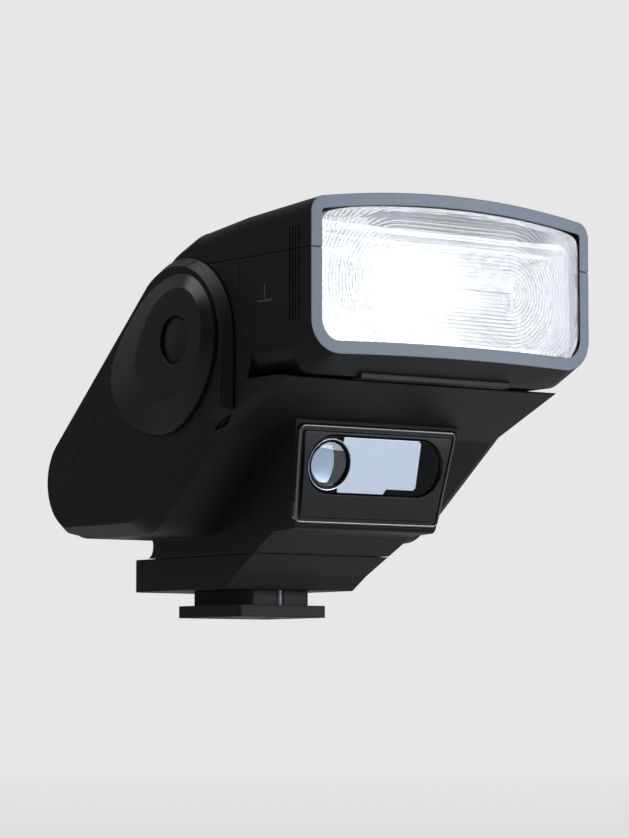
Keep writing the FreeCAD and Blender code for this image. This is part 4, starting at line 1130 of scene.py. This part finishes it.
@dataclass
class FlashWindow(SubAssembly):
    """Ribbed front lens, bright trough and tube.

    Attributes:
        straight: half of the straight run of each rib.
        pitch: distance between ribs.
        relief: depth of a rib.
        rings: number of ribs from the middle to a corner.
        steps: steps along one rib.
        bulge: how far the front stands out in the middle.
        arc_half: half width over which it does.
        thick: thickness of the lens.
        corner: radius of the lens's corners.
        border: width of its plain edge.
        side_gap: gap between the lens and its opening at the sides.
        low_gap: the same below it.
        top_gap: the same above its upper corners.
        rise: how much higher its upper edge is in the middle.
        sink: how far the ribs' middle lies below the opening's.
        sleeve_wall: wall of the sleeve round the window.
        foil: thickness of the bright foil.
        play: gap between the foil and what it lies on.
    """

    straight: float = 11.0 * MM
    pitch: float = 0.62 * MM
    relief: float = 0.11 * MM
    rings: int = 32
    steps: int = 180
    bulge: float = 1.4 * MM
    arc_half: float = 30.0 * MM
    thick: float = 1.3 * MM
    corner: float = 2.6 * MM
    border: float = 0.5 * MM
    side_gap: float = 0.35 * MM
    low_gap: float = 0.45 * MM
    top_gap: float = 2.05 * MM
    rise: float = 1.7 * MM
    sink: float = 0.9 * MM
    sleeve_wall: float = 0.8 * MM
    foil: float = 0.05 * MM
    play: float = 0.03 * MM

    def build(self) -> None:
        """Make every piece."""
        self.lens()
        self.flare()
        self.dress(Finish.REFLECTOR, "reflector")
        self.dress(Finish.GLASS, "flash_tube")
        self.dress(Finish.SILICONE, "tube_holders")

    def flare(self) -> None:
        """Thin bright foil that leads from the trough's mouth to the sleeve's front edge."""
        mouth_low, mouth_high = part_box("reflector")
        sleeve_low, sleeve_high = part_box("head_sleeve")
        middle = (sleeve_low.z + sleeve_high.z) / 2
        place = Place(Vector((0.0, mouth_low.y, middle)), RIGHT, Vector((0.0, 0.0, 1.0)))
        front = mouth_low.y - sleeve_low.y

        def around(low: Vector, high: Vector, back: float, radius: float) -> Outline:
            """Outline of a node's front, moved inwards.

            Args:
                low: the lowest corner of the node's box.
                high: its highest corner.
                back: how far it is moved inwards.
                radius: radius of its corners.

            Returns:
                The outline.
            """
            shift = (low.z + high.z) / 2 - middle
            outline = rounded_outline(high.x - back, (high.z - low.z) / 2 - back, radius)
            return [(u, v + shift) for u, v in outline]

        foil, seat, rest = self.foil, 0.02 * MM, front + self.play
        trough = around(mouth_low, mouth_high, seat, 0.5 * MM)
        sleeve = around(sleeve_low, sleeve_high, self.sleeve_wall + 2 * self.play, 1.2 * MM)
        lip = around(sleeve_low, sleeve_high, 0.0, 2.0 * MM)
        rings = [Ring(trough, seat), Ring(sleeve, rest), Ring(lip, rest), Ring(lip, rest + foil),
                 Ring(inset_round(sleeve, foil), rest + foil), Ring(inset_round(trough, foil), seat + foil)]
        mesh = ringed("reflector_flare", place, (0.0, 0.0), rings)
        self.piece(mesh, Finish.FLARE, BODY_OF["reflector"], SLOT_OF["reflector"])

    def ribs(self) -> bpy.types.Object:
        """Grow ribs that run straight and turn round both ends, about the origin in the XZ plane.

        Returns:
            The ribbed sheet as an object.
        """
        tree = Grower("lens_ribs", {"Straight": self.straight, "Pitch": self.pitch, "Relief": self.relief,
                                    "Rings": self.rings, "Steps": self.steps})
        rings = tree.given("Rings")
        sheet = tree.node("GeometryNodeMeshGrid", inputs={"Size X": 1.0, "Size Y": 1.0,
                          "Vertices X": rings * 4.0 + 1.0, "Vertices Y": tree.given("Steps")})
        across, along = (axis + 0.5 for axis in tree.split(tree.node("GeometryNodeInputPosition"))[:2])
        count = across * rings
        rise = tree.remap(count.fraction(), 0.0, 0.76, 0.0, 1.0) * (count.fraction() < 0.9)
        rise = rise * tree.remap(count, 2.0, 16.0, 0.25, 1.0)
        turn_right = tree.remap(along, 0.15, 0.5, 0.0, math.pi)
        turn_left = tree.remap(along, 0.65, 1.0, 0.0, math.pi)
        angle = math.pi / 2 - turn_right - turn_left
        slide = tree.remap(along, 0.0, 0.15, -1.0, 1.0) - tree.remap(along, 0.5, 0.65, 0.0, 2.0)
        radius = count * tree.given("Pitch") + 0.05 * MM
        x = slide * tree.given("Straight") + radius * angle.cosine()
        place = tree.vector(x, rise * tree.given("Relief") * -1.0, radius * angle.sine())
        moved = tree.node("GeometryNodeSetPosition", inputs={"Geometry": sheet, "Position": place})
        return tree.grow("flash_lens", moved, Finish.CLEAR)

    def lens(self) -> None:
        """Cut the ribbed sheet to the lens's outline and close it into a plate."""
        low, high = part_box("flash_panel")
        made = self.ribs()
        middle_z = (low.z + high.z) / 2 - self.sink
        half_x = high.x - self.side_gap
        bottom, top = low.z + self.low_gap, high.z - self.top_gap
        work = bmesh.new()
        work.from_mesh(made.data)
        bmesh.ops.remove_doubles(work, verts=work.verts, dist=0.004 * MM)
        bmesh.ops.translate(work, vec=(0.0, 0.0, middle_z), verts=work.verts)
        for normal, distance in self.edges(half_x, bottom, top):
            bmesh.ops.bisect_plane(work, geom=[*work.verts, *work.edges, *work.faces], dist=1e-7,
                                   plane_co=normal * distance, plane_no=normal, clear_outer=True)
        front = low.y
        for vert in work.verts:
            above = self.crown(top, half_x, vert.co.x) - vert.co.z
            edge = min(half_x - abs(vert.co.x), vert.co.z - bottom, above)
            plain = min(1.0, max(0.0, (edge - self.border) / (0.2 * MM)))
            bowed = front + self.bulge * (vert.co.x / self.arc_half) ** 2
            vert.co.y = bowed + vert.co.y * plain + self.relief
        rim = [e for e in work.edges if e.is_boundary]
        grown = bmesh.ops.extrude_edge_only(work, edges=rim)["geom"]
        back = [v for v in grown if isinstance(v, bmesh.types.BMVert)]
        for vert in back:
            vert.co.y = front + self.bulge * (vert.co.x / self.arc_half) ** 2 + self.thick
        bmesh.ops.contextual_create(work, geom=[e for e in work.edges if e.is_boundary])
        bmesh.ops.triangulate(work, faces=[f for f in work.faces if len(f.verts) > 4])
        bmesh.ops.recalc_face_normals(work, faces=work.faces)
        finished(work, made.data, 12.0)
        self.add(made, BODY_OF["flash_panel"], SLOT_OF["flash_panel"], "flash_panel")

    def crown(self, top: float, half_x: float, x: float) -> float:
        """Height of the crowned upper edge over one x."""
        return top + self.rise * (1.0 - (x / half_x) ** 2)

    def edges(self, half_x: float, bottom: float, top: float) -> list[tuple[Vector, float]]:
        """Planes that trim the sheet: two sides, a crowned top, a flat bottom and round corners.

        Args:
            half_x: half the lens's width.
            bottom: its lower edge.
            top: its upper edge at the corners.

        Returns:
            Outward normal and distance from the origin of each plane.
        """
        planes = [(Vector((side, 0.0, 0.0)), half_x) for side in (-1.0, 1.0)]
        planes.append((Vector((0.0, 0.0, -1.0)), -bottom))
        facets = 10
        for i in range(facets + 1):
            x = half_x * (2.0 * i / facets - 1.0)
            slope = -2.0 * self.rise * x / half_x ** 2
            normal = Vector((-slope, 0.0, 1.0)).normalized()
            planes.append((normal, normal.dot(Vector((x, 0.0, self.crown(top, half_x, x))))))
        for side in (-1, 1):
            for radius, z, up in ((self.corner, top - self.corner, 1),
                                  (2.0 * self.corner, bottom + 2.0 * self.corner, -1)):
                hub = Vector((side * (half_x - radius), 0.0, z))
                for i in range(1, 8):
                    a = math.pi / 2 * i / 8
                    normal = Vector((side * math.cos(a), 0.0, up * math.sin(a)))
                    planes.append((normal, normal.dot(hub) + radius))
        return planes


@dataclass
class BodyShells(SubAssembly):
    """Fixed shells of the wedge-shaped case, the cheeks over the hinge and the base block."""

    def build(self) -> None:
        """Make every piece."""
        for node in ("lower_housing", "rear_cover", "base_block"):
            self.skin(node, Finish.SHELL)
        for side in ("left", "right"):
            self.skin(f"hinge_cover_{side}", Finish.HINGE_TRIM)
            self.skin(f"hinge_cap_{side}", Finish.HINGE_TRIM)
            self.dress(Finish.SPRING, f"hinge_pin_{side}")
        self.dress(Finish.INNER, "battery_tray")


@dataclass
class SignalPanel(SubAssembly):
    """Polished panel on the pedestal's front with its slot, silvered plate and round lens.

    Attributes:
        corner: radius of the panel's corners.
        lip: width of the raised lip round the panel.
        groove: depth of the groove inside the lip.
        crown: how far the face stands out in the middle.
        slot_break: width of the chamfer round the slot.
        ring: outer radius of the black ring round the lens.
        dome_top: height of the clear lens in its middle.
        dome_fall: how much lower it is at its edge.
        dome_fit: its radius as a share of its bore.
        mirror: radius of the half-silvered plate behind the lens.
        mirror_edge: points of that plate's right edge, in millimetres from the lens's middle.
        plate: corners of the silvered plate but for its hollow left end, in millimetres from the slot's
            middle.
    """

    corner: float = 1.1 * MM
    lip: float = 0.42 * MM
    groove: float = 0.24 * MM
    crown: float = 0.34 * MM
    slot_break: float = 0.2 * MM
    ring: float = 4.02 * MM
    dome_top: float = 0.34 * MM
    dome_fall: float = 0.3 * MM
    dome_fit: float = 0.985
    mirror: float = 3.1 * MM
    mirror_edge: tuple[tuple[float, float], ...] = ((0.5, -2.95), (1.0, -1.6), (1.2, 0.0), (1.0, 1.6),
                                                    (0.5, 2.95))
    plate: tuple[tuple[float, float], ...] = ((-6.9, -4.5), (2.3, -4.5), (2.85, -3.65), (8.35, -3.65),
                                              (8.8, -3.2), (8.75, 3.95), (8.2, 4.5), (-6.9, 4.5))

    def build(self) -> None:
        """Make every piece."""
        self.face()
        self.skin("signal_window", Finish.DARK)
        self.dress(Finish.LAMP, "emitter")
        window = place_on("signal_window", FRONT, RIGHT)
        low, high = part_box("emitter_lens")
        self.at = ((low.x + high.x) / 2 - window.origin.x, 0.0)
        self.bore = (high.x - low.x) / 2
        self.silvering(window)
        self.lens(window)

    def face(self) -> None:
        """Beaded lip, paler than the face as a painted highlight and glossy for real highlights, and inside
        it a crowned face with a groove round it and a chamfered slot.
        """
        flat = place_on("window_panel", FRONT, RIGHT)
        points = laid_out("window_panel", flat)
        top, low = max(p.y for p in points), min(p.y for p in points)
        wide = max(p.x for p in points)
        narrow = max(p.x for p in points if p.y < low + 0.5 * self.corner) + 0.3 * self.corner
        place = Place(flat.at(0.0, (top + low) / 2), flat.u, flat.v)
        half = (top - low) / 2
        sides = [(-narrow, -half), (narrow, -half), (wide, half), (-wide, half)]
        window = laid_out("signal_window", place)
        slot_u = max(p.x for p in window) + 0.08 * MM
        slot_top, slot_low = max(p.y for p in window), min(p.y for p in window)
        slot_v = (slot_top - slot_low) / 2 + 0.08 * MM
        middle = (0.0, (slot_top + slot_low) / 2)

        def edge(by: float) -> Outline:
            """The panel's outline, moved inwards."""
            return rounded_polygon(inset(sides, by), max(self.corner - by, 0.35 * MM))

        def slot(out: float) -> Outline:
            """The slot's outline, moved outwards.

            Args:
                out: how far it is moved.

            Returns:
                The outline.
            """
            radius = slot_v + out
            outline = rounded_outline(slot_u + out, radius, radius - 0.02 * MM, 14)
            return [(u, v + middle[1]) for u, v in outline]

        inner, broken = edge(self.lip + 0.66 * MM), slot(self.slot_break)
        bead = self.lip / 2
        turns = [math.radians(20.0 * i) for i in range(10)]
        rings = [Ring(edge(0.0), -0.8 * MM)]
        rings += [Ring(edge(bead - bead * math.cos(a)), bead * math.sin(a) - 0.14 * MM) for a in turns]
        rings.append(Ring(edge(self.lip), -0.8 * MM))
        mesh = ringed("panel_lip", place, middle, rings, half)
        # the lip's paler colour is a painted highlight along the panel's edge
        self.piece(mesh, Finish.LIP, "case", SLOT_OF["window_panel"])
        outer, deep = edge(self.lip + 0.03 * MM), -0.9 * MM
        rings = [Ring(outer, deep), Ring(outer, -self.groove), Ring(edge(self.lip + 0.46 * MM), -self.groove),
                 Ring(edge(self.lip + 0.54 * MM), -0.04 * MM), Ring(inner, 0.01 * MM, crown=self.crown)]
        rings += [Ring(inner, 0.01 * MM, broken, i / 4, self.crown) for i in range(1, 5)]
        rings += [Ring(slot(out), height, crown=self.crown) for out, height in ((0.1 * MM, -0.24 * MM),
                                                                                (0.0, -0.4 * MM))]
        rings.append(Ring(slot(0.0), deep))
        mesh = ringed("panel_face", place, middle, rings, half)
        self.piece(mesh, Finish.GLOSS, "case", SLOT_OF["window_panel"], "window_panel")

    def silvering(self, window: Place) -> None:
        """Bright plate behind the slot's clear front, hollow at the left and stepped at the lower right.

        Args:
            window: the face of the slot.
        """
        hollow = self.ring + 0.26 * MM
        arc = [math.radians(60.0 - 12.0 * i) for i in range(11)]
        outline = [(u * MM, v * MM) for u, v in self.plate]
        outline += [(self.at[0] + hollow * math.cos(a), hollow * math.sin(a)) for a in arc]
        mesh = plate("window_silvering", window, outline, -0.05 * MM, 0.3 * MM)
        self.piece(mesh, Finish.SILVER, "case", "dark_window")

    def lens(self, window: Place) -> None:
        """Round lens: black ring, bright lip, domed clear lens and a half-silvered plate behind it.

        Args:
            window: the face of the slot.
        """
        bore, at = self.bore, self.at
        ring = [(bore, -0.3 * MM), (self.ring, -0.3 * MM), (self.ring, 0.36 * MM),
                (self.ring - 0.06 * MM, 0.42 * MM), (bore + 0.1 * MM, 0.36 * MM), (bore, 0.26 * MM)]
        inner, outer = self.ring + 0.03 * MM, self.ring + 0.2 * MM
        lip = [(inner, -0.1 * MM), (outer, -0.1 * MM), (outer, 0.38 * MM), (self.ring + 0.13 * MM, 0.46 * MM),
               (inner, 0.4 * MM)]
        shares = [i / 8 for i in range(1, 9)]
        dome = [(0.0, self.dome_top)]
        dome += [(bore * share * self.dome_fit, self.dome_top - self.dome_fall * share ** 2)
                 for share in shares]
        dome += [(bore * self.dome_fit, -0.42 * MM), (0.0, -0.42 * MM)]
        mask = [(0.0, -0.62 * MM), (bore * 0.98, -0.62 * MM), (bore * 0.98, -0.7 * MM), (0.0, -0.7 * MM)]
        for name, profile, sides, finish, slot, *nodes in (
            ("lens_ring", ring, 72, Finish.DARK, "dark_window"),
            ("lens_lip", lip, 72, Finish.SILVER, "dark_window"),
            ("lens_dome", dome, 72, Finish.COVER, "clear_lens", "emitter_lens"),
            ("lens_mask", mask, 48, Finish.DARK, "dark_window"),
        ):
            self.piece(turned(name, window, profile, at, sides), finish, "case", slot, *nodes)
        left = [math.radians(100.0 + 16.0 * i) for i in range(11)]
        mirror = [(at[0] + self.mirror * math.cos(a), self.mirror * math.sin(a)) for a in left]
        mirror += [(at[0] + u * MM, v * MM) for u, v in self.mirror_edge]
        mesh = plate("lens_mirror", window, mirror, -0.6 * MM, -0.52 * MM)
        self.piece(mesh, Finish.SILVER, "case", "lamp")


@dataclass
class SlopeControls(SubAssembly):
    """Control plate on the slope: switch, release button, lamp and their printed marks.

    Attributes:
        capital: height of the printed letters.
        ink: thickness of the print.
        word_reach: how far each word's middle is from the switch's.
        bolt_reach: how far the bolt is from the lamp's middle.
        bolt_half: half the height of the bolt.
        bolt: the bolt's outline, in halves of its height.
    """

    capital: float = 1.35 * MM
    ink: float = 0.03 * MM
    word_reach: float = 9.2 * MM
    bolt_reach: float = 3.1 * MM
    bolt_half: float = 1.1 * MM
    bolt: tuple[tuple[float, float], ...] = ((0.25, 1.0), (-0.55, -0.1), (-0.05, -0.1), (-0.3, -1.0),
                                             (0.55, 0.2), (0.05, 0.2))

    def build(self) -> None:
        """Make every piece."""
        self.skin("control_panel", Finish.PLATE)
        self.skin("power_switch", Finish.BUTTON)
        self.skin("release_button", Finish.BUTTON)
        self.dress(Finish.LAMP, "pilot_lamp")
        self.dress(Finish.DARK_BOARD, "control_board")
        slope = place_on("control_panel", Vector((0.0, 1.0, 1.0)), -RIGHT)
        self.legends(slope)

    def legends(self, slope: Place) -> None:
        """OFF and ON beside the switch, a bolt by the lamp.

        Args:
            slope: the face of the control plate.
        """
        low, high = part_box("power_switch")
        switch_v = slope.off((low + high) / 2)[1]
        for text, u in (("OFF", -self.word_reach), ("ON", self.word_reach)):
            mesh = lettering(f"legend_{text.lower()}", text, slope, (u, switch_v), self.capital, self.ink)
            self.piece(mesh, Finish.LEGEND, "case", "control_plate")
        lamp = (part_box("pilot_lamp")[0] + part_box("pilot_lamp")[1]) / 2
        lamp_u, lamp_v, _ = slope.off(lamp)
        shape = [(lamp_u - self.bolt_reach + u * self.bolt_half, lamp_v + v * self.bolt_half)
                 for u, v in self.bolt]
        mesh = plate("legend_bolt", slope, shape, 0.0, self.ink)
        self.piece(mesh, Finish.LEGEND, "case", "control_plate")


@dataclass
class ShoeMount(SubAssembly):
    """Foot, contacts, screws, lock lever and release.

    Attributes:
        screw_head: radius of a foot screw's head.
        screw_shank: radius of its thread.
        head_deep: depth of its head.
        cross_long: half the length of the cross in its head.
        cross_wide: half the width of the cross.
        cross_deep: depth of the cross.
        thread: pitch of the thread.
        root: the thread's inner radius as a share of its outer one.
        tip: length of the tapered end.
        seed: seed for how far each screw is turned.
    """

    screw_head: float = 1.45 * MM
    screw_shank: float = 0.69 * MM
    head_deep: float = 0.9 * MM
    cross_long: float = 0.86 * MM
    cross_wide: float = 0.17 * MM
    cross_deep: float = 0.5 * MM
    thread: float = 0.5 * MM
    root: float = 0.82
    tip: float = 0.35 * MM
    seed: int = 4

    def build(self) -> None:
        """Make every piece."""
        self.skin("shoe_foot", Finish.FOOT)
        self.skin("lock_lever", Finish.LEVER)
        self.skin("lock_release_button", Finish.BUTTON)
        self.skin("contact_pins", Finish.CONTACT)
        self.dress(Finish.PIN, "lock_pin")
        self.dress(Finish.STEEL, "lever_pivot")
        self.screws()

    def one_screw(self, length: float) -> bpy.types.Mesh:
        """Cross-head screw at the origin, its head's face down at zero and its thread upwards.

        Args:
            length: from the head's face to the end of the thread.

        Returns:
            The mesh.
        """
        long, wide = self.cross_long, self.cross_wide
        arm = [(long, -wide), (long, wide), (wide, wide)]
        quarters = ((1, 0), (0, 1), (-1, 0), (0, -1))
        cross = [(u * c - v * s, u * s + v * c) for c, s in quarters for u, v in arm]
        sunk = [(u * 0.62, v * 0.62) for u, v in cross]

        def disc(radius: float) -> Outline:
            """A circle."""
            return rounded_outline(radius, radius, radius * 0.999, 8)

        shank, root, head = self.screw_shank, self.screw_shank * self.root, self.screw_head
        profile = [(shank * 0.55, -length), (shank * 0.8, self.tip - length)]
        depth = length - self.tip
        while depth - self.thread > self.head_deep + 0.1 * MM:
            depth -= self.thread
            profile += [(shank, -depth - 0.3 * self.thread), (root, -depth)]
        profile += [(root, -self.head_deep), (head, -self.head_deep), (head, -0.28 * MM),
                    (head * 0.95, -0.12 * MM), (head * 0.78, -0.02 * MM)]
        rings = [Ring(disc(radius), height) for radius, height in profile]
        rings += [Ring([(u * 1.1, v * 1.1) for u, v in cross], 0.0), Ring(cross, -0.05 * MM),
                  Ring(sunk, -self.cross_deep)]
        down = Place(Vector(), RIGHT, Vector((0.0, -1.0, 0.0)))
        return ringed("foot_screw", down, (0.0, 0.0), rings, steps=24, capped=True)

    def screws(self) -> None:
        """Set the four screws out on their grid, each turned its own way."""
        low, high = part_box("foot_screws")
        middle = (low + high) / 2
        tree = Grower("screw_set", {"Pitch X": high.x - low.x - 2 * self.screw_head,
                                    "Pitch Y": high.y - low.y - 2 * self.screw_head, "Centre X": middle.x,
                                    "Centre Y": middle.y, "Face Z": low.z, "Seed": self.seed})
        grid = tree.node("GeometryNodeMeshGrid", inputs={"Size X": tree.given("Pitch X"), "Vertices X": 2,
                         "Size Y": tree.given("Pitch Y"), "Vertices Y": 2})
        turn = tree.node("FunctionNodeRandomValue", {"data_type": "FLOAT"},
                         {2: 0.0, 3: math.pi / 2, "Seed": tree.given("Seed")}, output=1)
        placed = tree.node("GeometryNodeInstanceOnPoints", inputs={
            "Points": grid, "Instance": Sock(tree, tree.source.outputs["Geometry"]),
            "Rotation": tree.vector(0.0, 0.0, turn)})
        centre = tree.vector(tree.given("Centre X"), tree.given("Centre Y"), tree.given("Face Z"))
        moved = tree.node("GeometryNodeTransform", inputs={"Geometry": placed, "Translation": centre})
        made = tree.grow("cross_head_screws", moved, Finish.STEEL, self.one_screw(high.z - low.z))
        self.add(made, BODY_OF["foot_screws"], SLOT_OF["foot_screws"], "foot_screws")


@dataclass
class BatteryBay(SubAssembly):
    """Side door with its hinge and the two cells behind it."""

    def build(self) -> None:
        """Make every piece."""
        self.skin("battery_door", Finish.DOOR)
        self.skin("door_slider", Finish.LEVER)
        self.dress(Finish.SPRING, "door_contact", "contact_springs")
        self.dress(Finish.CELL, "cell_front")
        self.dress(Finish.CELL_TURNED, "cell_rear")


@dataclass
class FiringParts(SubAssembly):
    """Boards, capacitor and coil inside the case."""

    def build(self) -> None:
        """Make every piece."""
        self.dress(Finish.BOARD, "main_board")
        self.dress(Finish.CAN, "main_capacitor")
        self.dress(Finish.FERRITE, "converter_coil")


# ---------------------------------------------------------------- studio
@dataclass
class Studio:
    """Pale floor, soft lights and the camera.

    Attributes:
        floor_drop: how far the floor lies under the foot.
        grey: colour of the floor.
        backdrop: what the camera sees behind it.
        fill: colour of the surroundings that light the flash and that it reflects.
        fill_strength: their strength.
        camera_from: the camera's place.
        lens: focal length in millimetres on a 36 mm sensor.
    """

    floor_drop: float = 78.0 * MM
    grey: float = 0.46
    backdrop: Colour = (0.80, 0.80, 0.795)
    fill: Colour = (0.93, 0.96, 1.0)
    fill_strength: float = 0.30
    camera_from: Vector = field(default_factory=lambda: Vector((-0.333, -0.4689, -0.0129)))
    lens: float = 146.0

    def build(self) -> None:
        """Set everything up."""
        low, high = CAD_BOX
        self.aim = (low + high) / 2
        self.floor()
        self.world()
        self.lights()
        self.camera()
        scene = bpy.context.scene
        scene.view_settings.view_transform = "Standard"

    def floor(self) -> None:
        """Large floor, seen from above only, under a glow for the camera alone; its colour darkens with
        distance, painted shade that glossy faces reflect as a dark far floor.
        """
        g = Graph("studio_floor")
        far = g.node("ShaderNodeVectorMath", {"operation": "LENGTH"}, {0: g.position()}, output="Value")
        colour = g.blend(g.noise(6.0, 3.0), (self.grey * 0.97,) * 3, (self.grey * 1.03,) * 3)
        # painted shade: the floor darkens with distance so that glossy faces reflect a dark far floor
        colour = g.blend(g.remap(far, 0.3, 0.8, 0.0, 1.0), colour, (self.grey * 0.3,) * 3)
        skin = g.principled({"Base Color": colour, "Roughness": 0.85})
        seen = g.node("ShaderNodeLightPath", output="Is Camera Ray")
        tint = g.blend(g.remap(far, 0.3, 2.4, 0.0, 1.0), (0.70, 0.70, 0.70), self.backdrop)
        glow = g.node("ShaderNodeEmission", inputs={"Color": tint, "Strength": 1.0})
        fade = seen * g.remap(far, 0.12, 0.9, 0.45, 1.0)
        skin = g.node("ShaderNodeMixShader", inputs={0: fade, 1: skin, 2: glow})
        behind = g.node("ShaderNodeNewGeometry", output="Backfacing")
        clear = g.node("ShaderNodeBsdfTransparent")
        material = g.finish(g.node("ShaderNodeMixShader", inputs={0: behind, 1: skin, 2: clear}))
        half, steps = 9.0, 12
        work = bmesh.new()
        bmesh.ops.create_grid(work, x_segments=steps, y_segments=steps, size=half)
        mesh = bpy.data.meshes.new("studio_floor")
        bmesh.ops.translate(work, vec=(0.0, 0.0, -self.floor_drop), verts=work.verts)
        work.to_mesh(mesh)
        work.free()
        mesh.materials.append(material)
        floor = linked("studio_floor", mesh)

    def world(self) -> None:
        """Dim even surroundings; the camera alone sees the pale backdrop in their place."""
        world = bpy.data.worlds.new("studio")
        bpy.context.scene.world = world
        world.use_nodes = True
        world.node_tree.nodes.clear()
        g = NodeMaker(world.node_tree)
        sockets = {"Color": (*self.fill, 1.0), "Strength": self.fill_strength}
        fill = g.node("ShaderNodeBackground", inputs=sockets)
        seen = g.node("ShaderNodeBackground", inputs={"Color": (*self.backdrop, 1.0), "Strength": 1.0})
        camera_ray = g.node("ShaderNodeLightPath", output="Is Camera Ray")
        mixed = g.node("ShaderNodeMixShader", inputs={0: camera_ray, 1: fill, 2: seen})
        out = g.tree.nodes.new("ShaderNodeOutputWorld")
        g.tree.links.new(mixed.socket, out.inputs["Surface"])

    def lights(self) -> None:
        """A large box like a window at the front right, one above, and a weak one and a strip at the left."""
        for name, at, size, power, tint in (
            ("window_box", Vector((0.52, -0.78, 0.16)), (0.62, 0.8), 13.0, (0.90, 0.95, 1.0)),
            ("top_box", Vector((-0.1, 0.05, 0.85)), (0.7, 0.7), 7.5, (1.0, 0.985, 0.96)),
            ("left_box", Vector((-0.8, 0.1, 0.5)), (0.6, 0.6), 1.8, (1.0, 0.97, 0.93)),
            ("edge_strip", Vector((-0.9, 0.12, 0.04)), (0.06, 0.5), 1.3, (0.95, 0.98, 1.0)),
        ):
            lamp = bpy.data.lights.new(name, "AREA")
            lamp.shape = "RECTANGLE"
            lamp.size, lamp.size_y = size
            lamp.energy = power
            lamp.color = tint
            self.aimed(linked(name, lamp), at)

    def aimed(self, holder: bpy.types.Object, at: Vector) -> None:
        """Stand a lamp or camera somewhere and turn it to the middle of the flash.

        Args:
            holder: the lamp or camera.
            at: where it stands.
        """
        holder.location = at
        holder.rotation_mode = "QUATERNION"
        holder.rotation_quaternion = (self.aim - at).to_track_quat("-Z", "Y")

    def camera(self) -> None:
        """The camera, aimed at the middle of the flash."""
        data = bpy.data.cameras.new("camera")
        data.lens = self.lens
        data.sensor_width = 36.0
        data.clip_start = 0.01
        holder = linked("camera", data)
        self.aimed(holder, self.camera_from)
        bpy.context.scene.camera = holder


def main() -> None:
    """Build the flash, sub-assembly by sub-assembly, and the studio round it."""
    logging.basicConfig(level=logging.INFO, format="%(message)s")
    for part in (HeadShells(), FlashWindow(), BodyShells(), SignalPanel(), SlopeControls(), ShoeMount(),
                 BatteryBay(), FiringParts()):
        part.build()
    Studio().build()


if __name__ == "__main__":
    main()
